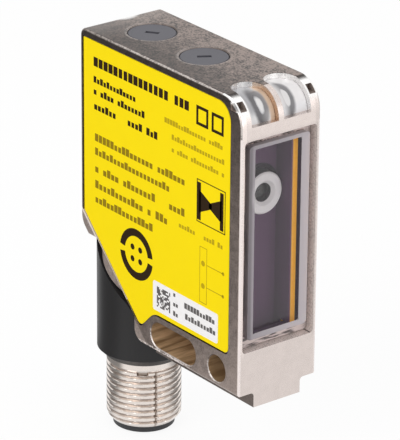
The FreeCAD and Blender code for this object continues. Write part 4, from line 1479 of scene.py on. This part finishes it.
class CellBlock(GeometryRule):
    """A square of small cells, filled or left out by a fixed chance.

    Attributes:
        EMPTY: the chance below which a cell is left out.
    """

    EMPTY = 0.42

    def __init__(self) -> None:
        """Build the tree: a square grid of points, some of which carry a cell."""
        super().__init__("cell_block")
        graph = self.graph
        size, thickness, face, x, z = self.take_all("Size", "Thickness", "Face", "Centre X", "Centre Z")
        seed, count = self.take("Seed", InputKind.COUNT), self.take("Count", InputKind.COUNT)
        inputs = {"Size X": size, "Size Y": size, "Vertices X": count, "Vertices Y": count}
        grid = graph.output("GeometryNodeMeshGrid", inputs)
        u, v, _ = graph.split(graph.output("GeometryNodeInputPosition"))
        inputs = {"Geometry": grid, "Position": graph.join(u + x, face, v + z)}
        upright = graph.output("GeometryNodeSetPosition", inputs)
        side = size / (count - 1.0)
        inputs = {
            "Points": upright,
            "Selection": self.chance(seed).above(self.EMPTY),
            "Instance": self.block(),
            "Scale": graph.join(side, thickness, side),
        }
        self.close(graph.output("GeometryNodeInstanceOnPoints", inputs))


class ThreadWall(GeometryRule):
    """The plug sleeve's outer wall: a collar, an undercut and a right-hand thread that runs out in a taper.

    Attributes:
        STEEPNESS: how steep the thread's flanks are; the rest of a turn is crest and valley.
    """

    STEEPNESS = 2.2

    def __init__(self) -> None:
        """Build the tree: a flat grid rolled up, with its radius from the thread's rule."""
        super().__init__("thread_wall")
        graph = self.graph
        axis, top, length = self.take_all("Axis X", "Top", "Length")
        radius, depth, pitch = self.take_all("Radius", "Depth", "Pitch")
        collar, undercut, undercut_depth = self.take_all("Collar", "Undercut", "Undercut Depth")
        taper, taper_depth = self.take_all("Taper", "Taper Depth")
        seam, seam_width, seam_depth = self.take_all("Seam", "Seam Width", "Seam Depth")
        key_start, key_end = self.take_all("Key Start", "Key End")
        key_depth, key_reach = self.take_all("Key Depth", "Key Reach")
        columns, rows = self.take("Columns", InputKind.COUNT), self.take("Rows", InputKind.COUNT)
        inputs = {"Size X": 1.0, "Size Y": 1.0, "Vertices X": columns, "Vertices Y": rows}
        grid = graph.output("GeometryNodeMeshGrid", inputs)
        u, v, _ = graph.split(graph.output("GeometryNodeInputPosition"))
        turn, drop = u + 0.5, (0.5 - v) * length
        threaded = drop.above(collar + undercut)
        wave = abs((turn + drop / pitch).fraction() * 2.0 - 1.0)
        valley = (wave * self.STEEPNESS - 1.0).clamped() * threaded
        in_undercut = drop.above(collar) * (1.0 - threaded)
        run_out = ((drop - length + taper) / taper).clamped()
        envelope = radius - in_undercut * undercut_depth - run_out * taper_depth
        in_seam = (1.0 - abs(turn - seam) / seam_width).clamped() * threaded * (1.0 - run_out)
        in_key = drop.between(collar + undercut, collar + undercut * key_reach)
        in_key = turn.between(key_start, key_end) * in_key
        wall = envelope.least(radius - valley * depth) - in_seam * seam_depth - in_key * key_depth
        angle = turn * (2.0 * math.pi)
        cosine, sine = graph.math("COSINE", angle), graph.math("SINE", angle)
        place = graph.join(axis + wall * cosine, wall * sine, top - drop)
        rolled = graph.output("GeometryNodeSetPosition", {"Geometry": grid, "Position": place})
        self.close(graph.output("GeometryNodeMergeByDistance", {"Geometry": rolled, "Distance": WELD}))


class Bench:
    """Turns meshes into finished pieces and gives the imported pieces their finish."""

    @staticmethod
    def paint(nodes: Iterable[str], finish: Finish) -> None:
        """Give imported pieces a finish.

        Args:
            nodes: the pieces' names.
            finish: what they get.
        """
        for node in nodes:
            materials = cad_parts[node].data.materials
            materials.clear()
            materials.append(finish.material())
            LOG.info("painted %s with %s", node, finish.name)

    @staticmethod
    def place(mesh: Mesh, name: str, body: Body, slot: Slot, stands_for: Sequence[str] = ()) -> None:
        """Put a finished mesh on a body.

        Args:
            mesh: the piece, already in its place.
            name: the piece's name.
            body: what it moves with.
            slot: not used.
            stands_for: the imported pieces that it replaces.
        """
        mesh.name = name
        piece = in_scene(name, mesh)
        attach(piece, body.value)
        if stands_for:
            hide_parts(*stands_for)
        LOG.info("placed %s on %s, %d faces", name, body.value, len(mesh.polygons))

    @staticmethod
    def merge(meshes: Iterable[Mesh], finish: Finish) -> Mesh:
        """Join meshes of one finish.

        Args:
            meshes: what to join; they are used up.
            finish: the finish of the whole.

        Returns:
            One mesh.
        """
        whole = bmesh.new()
        for mesh in meshes:
            whole.from_mesh(mesh)
            bpy.data.meshes.remove(mesh)
        bmesh.ops.remove_doubles(whole, verts=whole.verts, dist=WELD)
        joined = bpy.data.meshes.new("joined")
        whole.to_mesh(joined)
        whole.free()
        joined.materials.append(finish.material())
        return joined

    @staticmethod
    def lathe(profile: Sequence[Point2], axis: float, columns: int) -> Mesh:
        """Turn a line of (radius, height) points about an upright axis.

        Args:
            profile: the points, in millimetres, with the outside on the left of the way they run.
            axis: the axis's place along X, in millimetres.
            columns: how many faces go round.

        Returns:
            An open wall.
        """
        wall = bmesh.new()
        turns = [2.0 * math.pi * column / columns for column in range(columns)]
        rings: List[List[bmesh.types.BMVert]] = []
        for radius, height in profile:
            points = (polar((axis, 0.0), radius, turn) for turn in turns)
            rings.append([wall.verts.new((x * MM, y * MM, height * MM)) for x, y in points])
        for upper, lower in zip(rings, rings[1:]):
            for column in range(columns):
                after = (column + 1) % columns
                wall.faces.new((upper[column], lower[column], lower[after], upper[after]))
        mesh = bpy.data.meshes.new("turned")
        wall.to_mesh(mesh)
        wall.free()
        return mesh


@dataclass
class FlatPrint:
    """Printed plates on one upright face of the part.

    Attributes:
        face: the carrier's face, along Y.
        thickness: the plates' thickness.
        shapes: the plates' outlines, as corners along X and Z.
    """

    face: float
    thickness: float = PRINT
    shapes: List[List[Point2]] = field(default_factory=list)

    def bar(self, start: Point2, end: Point2, width: float) -> None:
        """Add a straight bar.

        Args:
            start: the middle of its first end.
            end: the middle of its last end.
            width: how wide it is.
        """
        first, last = Vector(start), Vector(end)
        ahead = (last - first).normalized()
        side = Vector((-ahead.y, ahead.x)) * width / 2.0
        corners = (first - side, last - side, last + side, first + side)
        self.shapes.append([tuple(corner) for corner in corners])

    def outline(self, low: Point2, high: Point2, width: float) -> None:
        """Add the four bars of a rectangle.

        Args:
            low: its corner of least X and Z, in the middle of the bars.
            high: its corner of most X and Z.
            width: the bars' width.
        """
        half = width / 2.0
        for z in (low[1], high[1]):
            self.bar((low[0] - half, z), (high[0] + half, z), width)
        for x in (low[0], high[0]):
            self.bar((x, low[1] + half), (x, high[1] - half), width)

    def disc(self, centre: Point2, radius: float, sides: int = 16) -> None:
        """Add a filled disc with straight sides."""
        self.shapes.append([polar(centre, radius, 2.0 * math.pi * step / sides) for step in range(sides)])

    def arc(self, centre: Point2, radii: Point2, turns: Point2, steps: int = 40) -> None:
        """Add part of a ring, as a run of short plates.

        Args:
            centre: the ring's centre.
            radii: its inner and its outer radius.
            turns: its first and its last angle, in degrees.
            steps: how many plates it has.
        """
        (inner, outer), (start, end) = radii, turns
        edges = [math.radians(start + (end - start) * step / steps) for step in range(steps + 1)]
        for low, high in zip(edges, edges[1:]):
            corners = ((inner, low), (outer, low), (outer, high), (inner, high))
            self.shapes.append([polar(centre, radius, angle) for radius, angle in corners])

    def mesh(self) -> Mesh:
        """Make all shapes into closed plates.

        Returns:
            One mesh.
        """
        sheet = bmesh.new()
        for shape in self.shapes:
            back = [sheet.verts.new((x * MM, self.face * MM, z * MM)) for x, z in shape]
            front = [sheet.verts.new((x * MM, (self.face - self.thickness) * MM, z * MM)) for x, z in shape]
            sheet.faces.new(front)
            sheet.faces.new(list(reversed(back)))
            for index in range(len(shape)):
                after = (index + 1) % len(shape)
                sheet.faces.new((front[after], front[index], back[index], back[after]))
        bmesh.ops.recalc_face_normals(sheet, faces=sheet.faces)
        mesh = bpy.data.meshes.new("print")
        sheet.to_mesh(mesh)
        sheet.free()
        return mesh


@dataclass(frozen=True)
class TextRow:
    """One line of text shown as blocks.

    Attributes:
        start: its left end along X.
        end: its right end along X.
        level: its lower edge.
        height: the height of its tall blocks.
        pitch: from one block to the next, as a share of the height.
        low: the height of its low blocks, as a share of the height.
    """

    start: float
    end: float
    level: float
    height: float
    pitch: float = 0.80
    low: float = 0.70

    def mesh(self, rule: MarkRow, ink: Finish, face: float, seed: int) -> Mesh:
        """Set the line's blocks on a face, half sunk into it.

        Args:
            rule: the rule that makes them.
            ink: their finish.
            face: the carrier's face along Y.
            seed: which fixed pattern of gaps it has.

        Returns:
            The blocks' mesh.
        """
        pitch = self.height * self.pitch
        sizes = {
            "Start": self.start,
            "Pitch": pitch,
            "Height": self.height,
            "Level": self.level,
            "Face": face,
            "Thickness": 2.0 * PRINT,
        }
        count = max(1, round((self.end - self.start) / pitch))
        return rule.run(ink, sizes, {"Low": self.low, "Seed": seed, "Count": count})


@dataclass
class SideLabel:
    """The yellow label with its generic print, and the white sticker on it.

    Attributes:
        bold_rows, plain_rows, faint_rows: the label's heavy, common and fine lines of text.
        sticker_rows: the sticker's lines.
        first_seed: the seed of the first line of each kind.
        plan_centre, plan_ring: the middle of the plug's contact plan, and its ring's two radii.
        plan_halves: where the ring's two halves begin and end, in degrees.
        contact_ring, contact_turns: the radius and the angles, in degrees, that the contacts lie at.
        contact_radius: their own radius.
        beam_posts, beam_cones: the beam sign's posts as bars, and its cones by their corners.
        boxes: the line round that sign and the two plain squares, by two corners and the line's width.
        wiring_box, wires, dots: the connection sketch's box, its wires as bars and their dots.
        cells_centre, cells_size: the middle and the side of the sticker's block of cells.
        cells_count, cells_seed: how many cells it has along a side, and which fixed pattern.
    """

    bold_rows: Tuple[TextRow, ...] = (
        TextRow(-31.5, -7.4, 39.5, 1.5, 0.85, 1.0),
        TextRow(-31.5, -20.5, 36.8, 1.05),
        TextRow(-31.5, -18.1, 34.85, 1.1),
        TextRow(-31.4, -13.7, 32.4, 1.2),
    )
    plain_rows: Tuple[TextRow, ...] = (
        TextRow(-31.2, -8.6, 27.2, 1.25),
        TextRow(-31.2, -12.0, 24.9, 1.2),
        TextRow(-31.2, -15.7, 22.0, 1.3),
        TextRow(-12.2, -8.3, 22.1, 1.25),
        TextRow(-31.2, -12.5, 19.35, 1.3),
        TextRow(-31.2, -14.7, 16.9, 1.25),
    )
    faint_rows: Tuple[TextRow, ...] = (
        TextRow(-13.4, 1.0, 35.9, 0.85, 0.8),
        TextRow(-11.6, 1.0, 33.65, 0.85, 0.8),
        TextRow(-11.6, 1.0, 31.65, 0.85, 0.8),
        TextRow(-9.7, 1.1, 20.0, 0.85, 0.8),
    )
    sticker_rows: Tuple[TextRow, ...] = (
        TextRow(-8.1, -0.6, 7.1, 0.95),
        TextRow(-7.9, -0.6, 5.35, 0.95),
        TextRow(-10.9, -9.5, 8.1, 0.8),
        TextRow(-10.9, -9.5, 6.5, 0.8),
        TextRow(-10.9, -9.5, 4.9, 0.8),
    )
    first_seed: int = 3
    plan_centre: Point2 = (-20.4, 11.7)
    plan_ring: Point2 = (2.95, 4.2)
    plan_halves: Tuple[Point2, ...] = ((8.0, 172.0), (188.0, 352.0))
    contact_ring: float = 1.4
    contact_turns: Tuple[float, ...] = (45.0, 135.0, 225.0, 315.0)
    contact_radius: float = 0.5
    beam_posts: Tuple[Bar, ...] = (((-4.7, 22.9), (-4.7, 29.0), 0.85), ((0.8, 22.9), (0.8, 29.0), 0.85))
    beam_cones: Tuple[Tuple[Point2, ...], ...] = (
        ((-4.7, 24.1), (-1.6, 25.6), (-1.6, 26.3), (-4.7, 27.8)),
        ((0.8, 24.1), (-2.3, 25.6), (-2.3, 26.3), (0.8, 27.8)),
    )
    boxes: Tuple[Bar, ...] = (
        ((-5.2, 22.6), (1.6, 29.4), 0.16),
        ((-5.3, 38.3), (-2.9, 40.9), 0.5),
        ((-1.6, 38.3), (0.8, 40.9), 0.5),
    )
    wiring_box: Bar = ((-4.4, 9.6), (-2.7, 18.7), 0.12)
    wires: Tuple[Bar, ...] = (((-2.7, 16.1), (1.3, 16.1), 0.14), ((-2.7, 12.4), (1.3, 12.4), 0.14))
    dots: Tuple[Dot, ...] = (
        ((-3.6, 16.1), 0.45),
        ((1.3, 16.1), 0.3),
        ((-3.6, 12.4), 0.45),
        ((1.3, 12.4), 0.3),
    )
    cells_centre: Point2 = (-13.3, 6.6)
    cells_size: float = 3.1
    cells_count: int = 12
    cells_seed: int = 11

    def build(self) -> None:
        """Make the label's and the sticker's print, and paint their foils."""
        Bench.paint(["rating_label"], LABEL_FOIL)
        Bench.paint(["serial_sticker"], STICKER_FOIL)
        label_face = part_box("rating_label")[0].y / MM
        sticker_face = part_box("serial_sticker")[0].y / MM
        rule = MarkRow()
        bold = self._rows(rule, BOLD_INK, label_face, self.bold_rows)
        self._print("label_bold_print", [*bold, self._signs(label_face).mesh()], BOLD_INK)
        self._print("label_plain_print", self._rows(rule, PLAIN_INK, label_face, self.plain_rows), PLAIN_INK)
        faint = self._rows(rule, FAINT_INK, label_face, self.faint_rows)
        self._print("label_fine_print", [*faint, self._wiring(label_face).mesh()], FAINT_INK)
        marks = self._rows(rule, STICKER_INK, sticker_face, self.sticker_rows)
        self._print("sticker_print", [*marks, self._cells(sticker_face)], STICKER_INK)

    @staticmethod
    def _print(name: str, meshes: Sequence[Mesh], ink: Finish) -> None:
        """Join one ink's shapes into a piece on the housing."""
        Bench.place(Bench.merge(meshes, ink), name, Body.HOUSING, Slot.DARK)

    def _rows(self, rule: MarkRow, ink: Finish, face: float, rows: Sequence[TextRow]) -> List[Mesh]:
        """Return the blocks of each row on a face."""
        return [row.mesh(rule, ink, face, seed) for seed, row in enumerate(rows, start=self.first_seed)]

    def _signs(self, face: float) -> FlatPrint:
        """Draw the plug's contact plan, the plain beam sign and two plain squares.

        Args:
            face: the label's face along Y.

        Returns:
            The shapes, not yet a mesh.
        """
        sheet = FlatPrint(face, shapes=[list(cone) for cone in self.beam_cones])
        for half in self.plan_halves:
            sheet.arc(self.plan_centre, self.plan_ring, half)
        for turn in self.contact_turns:
            contact = polar(self.plan_centre, self.contact_ring, math.radians(turn))
            sheet.disc(contact, self.contact_radius)
        for post in self.beam_posts:
            sheet.bar(*post)
        for box in self.boxes:
            sheet.outline(*box)
        return sheet

    def _wiring(self, face: float) -> FlatPrint:
        """Draw the thin lines of the connection sketch.

        Args:
            face: the label's face along Y.

        Returns:
            The shapes, not yet a mesh.
        """
        sheet = FlatPrint(face)
        sheet.outline(*self.wiring_box)
        for wire in self.wires:
            sheet.bar(*wire)
        for dot in self.dots:
            sheet.disc(*dot)
        return sheet

    def _cells(self, face: float) -> Mesh:
        """Make the sticker's block of cells, which holds no code.

        Args:
            face: the sticker's face along Y.

        Returns:
            The cells' mesh.
        """
        sizes = {
            "Size": self.cells_size,
            "Thickness": 2.0 * PRINT,
            "Face": face,
            "Centre X": self.cells_centre[0],
            "Centre Z": self.cells_centre[1],
        }
        return CellBlock().run(STICKER_INK, sizes, {"Seed": self.cells_seed, "Count": self.cells_count})


@dataclass
class Housing:
    """The frame, its covers and the seals under them.

    Attributes:
        covers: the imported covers.
        seals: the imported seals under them.
        web_span: where the webs that close the corner's notches lie, from the mid-plane.
        web_inset: how far the webs lie inside the rounded corner.
        web_steps: how many faces the webs' rounded edge has.
    """

    covers: Tuple[str, ...] = ("label_side_cover", "plain_side_cover")
    seals: Tuple[str, ...] = ("label_side_seal", "plain_side_seal")
    web_span: Point2 = (7.05, 7.3)
    web_inset: float = 0.02
    web_steps: int = 12

    def build(self) -> None:
        """Paint the metal, the covers and the seals, and make the webs."""
        low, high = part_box("housing_frame")
        plan = FramePlan(half_width=high.y / MM, front=high.x / MM, top=high.z / MM, rear=low.x / MM)
        metal = CastMetal(
            "cast_frame_metal", (0.172, 0.141, 0.127), 0.42, 1.0, grain_mm=0.3, relief_mm=0.008, plan=plan
        )
        Bench.paint(["housing_frame"], metal)
        webs = Bench.merge(self._webs(plan), metal)
        Bench.place(webs, "corner_webs", Body.HOUSING, Slot.FRAME)
        Bench.paint(self.covers, COVER_PLASTIC)
        Bench.paint(self.seals, SEAL_RUBBER)

    def _webs(self, plan: FramePlan) -> List[Mesh]:
        """Make the thin webs that close the outer ends of the corner's notches.

        Args:
            plan: where the frame's faces lie.

        Returns:
            One mesh for each side.
        """
        rear, radius = plan.front - plan.notch_depth, plan.corner - self.web_inset
        high, low = (plan.top - drop for drop in plan.notch_span)
        shape = [(rear, high), (rear, low)]
        for step in range(self.web_steps + 1):
            level = low + (high - low) * step / self.web_steps
            reach = math.sqrt(radius ** 2 - (level - plan.top + plan.corner) ** 2)
            shape.append((plan.front - plan.corner + reach, level))
        inner, outer = self.web_span
        return [FlatPrint(face, outer - inner, [shape]).mesh() for face in (-inner, outer)]


@dataclass
class Optics:
    """The window, the emitter behind it and the corner lenses.

    Attributes:
        left_lens: the finish of the lens on the label side.
        right_lens: the finish of the other lens.
        lights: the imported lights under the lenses.
    """

    left_lens: LensGlass = LensGlass(
        "left_lens_glass", (0.95, 0.95, 0.97), 0.08, grain_mm=2.0, spot=-2.65, half_width=0.45, side=-0.1,
        wall=-1.6, round_ring=0.9, rest=(0.56, 0.555, 0.58), low=(1.0, 0.99, 1.0),
    )
    right_lens: LensGlass = LensGlass(
        "right_lens_glass", (0.95, 0.95, 0.97), 0.08, grain_mm=2.0, spot=2.3, half_width=0.42, side=0.4,
        ring=(0.22, 0.215, 0.225), rest=(0.98, 0.95, 0.95),
    )
    lights: Tuple[str, ...] = ("indicator_led_left", "indicator_led_right")

    def build(self) -> None:
        """Paint the clear pieces and what shows through them."""
        Bench.paint(["front_window"], WINDOW_GLASS)
        Bench.paint(["window_seal"], WINDOW_RUBBER)
        Bench.paint(["indicator_lens_left"], self.left_lens)
        Bench.paint(["indicator_lens_right"], self.right_lens)
        Bench.paint(self.lights, LED_RESIN)
        low, high = (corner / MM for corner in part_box("laser_barrel"))
        carrier = ShadedMoulding(
            "carrier_plastic", (0.088, 0.036, 0.085), 0.6, 0.0, 0.2, 0.08, 0.25, 0.004,
            axis_y=(low.y + high.y) / 2.0, axis_z=(low.z + high.z) / 2.0, radius=(high.z - low.z) / 2.0,
        )
        Bench.paint(["optics_carrier"], carrier)
        Bench.paint(["laser_barrel"], BARREL_FACE)
        Bench.paint(["collimator_lens"], OPTIC_GLASS)
        Bench.paint(["laser_diode"], DIODE_PLATE)


@dataclass
class Electronics:
    """The boards, what they carry and the adjusters that reach them from outside.

    Attributes:
        boards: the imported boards.
        board_rim: the width of the main board's dark rim on the label side.
        adjusters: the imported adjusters.
        adjuster_seals: their seals.
        trimmers: what they turn.
    """

    boards: Tuple[str, ...] = ("main_board", "indicator_board")
    board_rim: float = 0.3
    adjusters: Tuple[str, ...] = ("adjuster_front", "adjuster_rear")
    adjuster_seals: Tuple[str, ...] = ("adjuster_seal_front", "adjuster_seal_rear")
    trimmers: Tuple[str, ...] = ("trimmer_front", "trimmer_rear")

    def build(self) -> None:
        """Paint the boards, their parts, the leads and the adjusters."""
        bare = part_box("main_board")[0].y / MM + self.board_rim
        laminate = EndFaced(
            "board_laminate", (0.98, 0.46, 0.03), 0.7, specular=0.1, mottle=0.12, grain_mm=0.5, bare=bare
        )
        Bench.paint(self.boards, laminate)
        Bench.paint(["board_chips"], CHIP_RESIN)
        Bench.paint(self.trimmers, TRIMMER_RESIN)
        Bench.paint(["lead_wires"], LEAD_SLEEVING)
        Bench.paint(self.adjusters, ADJUSTER_PLASTIC)
        Bench.paint(self.adjuster_seals, SEAL_RUBBER)


@dataclass
class Connector:
    """The swivelling plug: black elbow, threaded sleeve and contact insert.

    Attributes:
        pitch, thread_depth: from one thread to the next, and from crest to root.
        collar: the plain collar's height.
        undercut, undercut_depth: the height and the depth of the groove below it.
        taper, taper_depth: the height of the lead-in, and how far it draws in.
        seam_width, seam_depth: half the width of the seam's groove, in degrees, and its depth.
        key_depth: the depth of the key slot.
        key_reach: from the collar to the key slot's lower end, in heights of the undercut.
        bore, spigot: the sleeve's inner radius, and the outer radius of what the elbow holds.
        columns, row: how many faces go round, and the height of one row of them.
        crease: the angle above which an edge is sharp, in degrees.
    """

    pitch: float = 1.0
    thread_depth: float = 0.56
    collar: float = 1.0
    undercut: float = 0.4
    undercut_depth: float = 0.4
    taper: float = 0.8
    taper_depth: float = 0.6
    seam_width: float = 1.6
    seam_depth: float = 0.22
    key_depth: float = 0.5
    key_reach: float = 2.2
    bore: float = 5.0
    spigot: float = 5.59
    columns: int = 180
    row: float = 0.06
    crease: float = 38.0

    def build(self) -> None:
        """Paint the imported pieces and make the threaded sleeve."""
        Bench.paint(["swivel_elbow"], ELBOW_PLASTIC)
        Bench.paint(["swivel_seal"], SEAL_RUBBER)
        Bench.paint(["swivel_retainer"], RETAINER_STEEL)
        Bench.paint(["contact_insert"], INSERT_PLASTIC)
        Bench.paint(["contact_pins"], PIN_GOLD)
        Bench.paint(["plug_leads"], LEAD_SLEEVING)
        sleeve = self._sleeve()
        Bench.place(sleeve, "plug_thread_sleeve", Body.SWIVEL, Slot.SLEEVE, ["thread_sleeve"])

    def _sleeve(self) -> Mesh:
        """Make the sleeve: its threaded wall, and the spigot and bore behind it.

        Returns:
            The finished mesh.
        """
        low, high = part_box("thread_sleeve")
        axis, radius = (low.x + high.x) / 2.0 / MM, (high.x - low.x) / 2.0 / MM
        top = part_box("swivel_elbow")[0].z / MM
        bottom, spigot_top = low.z / MM, high.z / MM
        nickel = ThreadMetal(
            "sleeve_nickel_plate", (0.82, 0.75, 0.70), 0.2, 1.0, mottle=0.06, grain_mm=0.09,
            axis=axis, crest=radius, root=radius - self.thread_depth, top=top,
        )
        rest = [
            (radius - self.taper_depth, bottom),
            (self.bore, bottom),
            (self.bore, spigot_top),
            (self.spigot, spigot_top),
            (self.spigot, top),
            (radius, top),
        ]
        wall = self._wall(nickel, top - bottom)
        mesh = Bench.merge([wall, Bench.lathe(rest, axis, self.columns)], nickel)
        mesh.shade_smooth()
        mesh.set_sharp_from_angle(angle=math.radians(self.crease))
        return mesh

    def _wall(self, metal: ThreadMetal, length: float) -> Mesh:
        """Make the sleeve's outer wall.

        Args:
            metal: its finish, which says where the thread, the seam and the key slot lie.
            length: its length, from the elbow to the lower end.

        Returns:
            An open wall.
        """
        sizes = {
            "Axis X": metal.axis,
            "Top": metal.top,
            "Length": length,
            "Radius": metal.crest,
            "Depth": self.thread_depth,
            "Pitch": self.pitch,
            "Collar": self.collar,
            "Undercut": self.undercut,
            "Undercut Depth": self.undercut_depth,
            "Taper": self.taper,
            "Taper Depth": self.taper_depth,
            "Seam Depth": self.seam_depth,
            "Key Depth": self.key_depth,
        }
        seam, key_start, key_end = (degrees / 360.0 % 1.0 for degrees in (metal.seam, *metal.key))
        numbers = {
            "Seam": seam,
            "Seam Width": self.seam_width / 360.0,
            "Key Start": key_start,
            "Key End": key_end,
            "Key Reach": self.key_reach,
            "Columns": self.columns + 1,
            "Rows": round(length / self.row) + 1,
        }
        return ThreadWall().run(metal, sizes, numbers)


@dataclass(frozen=True)
class Lamp:
    """A soft square lamp that looks at the part.

    Attributes:
        name: its name.
        place: where it stands, in metres.
        size: its side, in metres.
        power: its power in watts.
    """

    name: str
    place: Place
    size: float
    power: float


@dataclass(frozen=True)
class DarkReflectionPatch:
    """A painted dark reflection: a patch of the floor that only glossy rays see darker, which polished
    surfaces show.

    Attributes:
        low: its corner of least X and Y, in millimetres.
        high: its corner of most X and Y, in millimetres.
        depth: how much darker it is than the floor.
        fade: how far its edges fade, in millimetres.
    """

    low: Point2
    high: Point2
    depth: float
    fade: float = 10.0

    def cover(self, x: Value, y: Value) -> Value:
        """Work out how much the painted dark patch darkens a point of the floor.

        Args:
            x: the point's place along X, in millimetres.
            y: its place along Y.

        Returns:
            The share, up to the patch's depth.
        """
        along, across = (
            part.ramp(low - self.fade, low) * (1.0 - part.ramp(high, high + self.fade))
            for part, low, high in zip((x, y), self.low, self.high)
        )
        return along * across * self.depth


@dataclass
class Studio:
    """The camera, the lamps, the white surroundings and the floor, in metres.

    Attributes:
        camera_place: where the camera stands.
        camera_right, camera_down, camera_ahead: the picture's directions in the part's frame.
        camera_clip: the nearest and the furthest that it sees.
        focal_pixels, picture_height: its focal length and the photograph's height, in pixels.
        sensor: the height of its sensor, in millimetres.
        target, lamps: what the lamps look at, and the lamps.
        surround: how strongly the surroundings light the part.
        floor_level, floor_size: the floor's height and its side.
        floor_tone, floor_glow: how pale the floor is, and how bright it shows.
        floor_cover: how much of what it shows is that glow, and no shadow.
        dark_reflection_patches: the painted dark patches on it, which only glossy rays see.
    """

    camera_place: Place = (0.37446399, -0.30163909, 0.22717412)
    camera_right: Place = (0.6106365, 0.7918712, 0.0079419)
    camera_down: Place = (0.3146716, -0.2334256, -0.9200512)
    camera_ahead: Place = (-0.7267082, 0.5643160, -0.3917175)
    camera_clip: Point2 = (0.01, 20.0)
    focal_pixels: float = 3479.1723
    picture_height: float = 440.0
    sensor: float = 36.0
    target: Place = (-0.014, 0.0, 0.012)
    lamps: Tuple[Lamp, ...] = (
        Lamp("key_lamp", (0.10, -0.62, 0.34), 0.55, 1.97),
        Lamp("front_lamp", (0.60, 0.10, 0.16), 0.50, 1.1),
        Lamp("top_lamp", (-0.05, 0.10, 0.75), 0.50, 0.8),
    )
    surround: float = 0.55
    floor_level: float = -0.0221
    floor_size: float = 6.0
    floor_tone: float = 0.86
    floor_glow: float = 1.04
    floor_cover: float = 0.86
    dark_reflection_patches: Tuple[DarkReflectionPatch, ...] = (
        DarkReflectionPatch((-1000.0, -1000.0), (-40.0, -20.0), 0.85),
        DarkReflectionPatch((-58.0, -20.0), (-40.0, 60.0), 0.85),
        DarkReflectionPatch((-40.0, 14.0), (-18.0, 60.0), 0.80),
        DarkReflectionPatch((-30.0, 25.0), (0.0, 150.0), 0.60),
    )

    def build(self) -> None:
        """Set up the whole studio."""
        bpy.context.scene.view_settings.view_transform = "Standard"
        self._camera()
        for lamp in self.lamps:
            self._lamp(lamp)
        self._world()
        self._floor()

    def _camera(self) -> None:
        """Stand the camera where the photograph was taken from."""
        data = bpy.data.cameras.new("photo_camera")
        data.sensor_fit = "VERTICAL"
        data.sensor_height = self.sensor
        data.lens = self.focal_pixels * self.sensor / self.picture_height
        data.clip_start, data.clip_end = self.camera_clip
        camera = in_scene("photo_camera", data)
        axes = (Vector(self.camera_right), -Vector(self.camera_down), -Vector(self.camera_ahead))
        turn = Matrix(axes).transposed()
        camera.matrix_world = Matrix.Translation(self.camera_place) @ turn.to_4x4()
        bpy.context.scene.camera = camera

    def _lamp(self, lamp: Lamp) -> None:
        """Hang one lamp and turn it to the part.

        Args:
            lamp: what it is like.
        """
        data = bpy.data.lights.new(lamp.name, "AREA")
        data.shape = "SQUARE"
        data.size = lamp.size
        data.energy = lamp.power
        holder = in_scene(lamp.name, data)
        holder.location = lamp.place
        ahead = Vector(self.target) - Vector(lamp.place)
        holder.rotation_euler = ahead.to_track_quat("-Z", "Y").to_euler()

    def _world(self) -> None:
        """Surround the part with white that lights it at a plain level."""
        world = bpy.data.worlds.new("white_surround")
        world.use_nodes = True
        bpy.context.scene.world = world
        graph = ShaderGraph(world.node_tree)
        lighting = graph.output("ShaderNodeBackground", {"Color": solid(WHITE), "Strength": self.surround})
        shown = graph.output("ShaderNodeBackground", {"Color": solid(WHITE), "Strength": 1.0})
        mixed = graph.mix(graph.ray(*SEEN), lighting, shown)
        graph.node("ShaderNodeOutputWorld", {"Surface": mixed})

    def _shaded(self, graph: ShaderGraph) -> Value:
        """Return how much painted dark patch a glossy ray sees on the floor, which is 0 for all other rays.
        """
        x, y, _ = graph.spot()
        return graph.ray("Glossy") * reduce(Value.most, (dark_patch.cover(x, y) for dark_patch in self.dark_reflection_patches))

    def _floor_material(self) -> bpy.types.Material:
        """Make the floor's finish, which shows white and keeps a faint shadow.

        Returns:
            The material.
        """
        material = bpy.data.materials.new("studio_floor_white")
        material.use_nodes = True
        graph = ShaderGraph(material.node_tree)
        diffuse = graph.output("ShaderNodeBsdfDiffuse", {"Color": solid(shade(WHITE, self.floor_tone))})
        bright = graph.output("ShaderNodeEmission", {"Color": solid(WHITE), "Strength": self.floor_glow})
        dark = graph.output("ShaderNodeEmission", {"Color": solid(BLACK)})
        glow = graph.mix(self._shaded(graph) / self.floor_glow, bright, dark)
        mixed = graph.mix(graph.ray(*SEEN) * self.floor_cover, diffuse, glow)
        graph.node("ShaderNodeOutputMaterial", {"Surface": mixed})
        return material

    def _floor(self) -> None:
        """Lay the pale floor."""
        mesh = bpy.data.meshes.new("studio_floor")
        half = self.floor_size / 2.0
        sides = ((-half, -half), (half, -half), (half, half), (-half, half))
        mesh.from_pydata([(x, y, self.floor_level) for x, y in sides], [], [(0, 1, 2, 3)])
        mesh.materials.append(self._floor_material())
        floor = in_scene("studio_floor", mesh)


def main() -> None:
    """Build every sub-assembly in order and report it."""
    logging.basicConfig(level=logging.INFO, format="%(name)s: %(message)s")
    Studio().build()
    for assembly in (Housing(), SideLabel(), Optics(), Electronics(), Connector()):
        assembly.build()
        LOG.info("built %s", type(assembly).__name__)


if __name__ == "__main__":
    main()
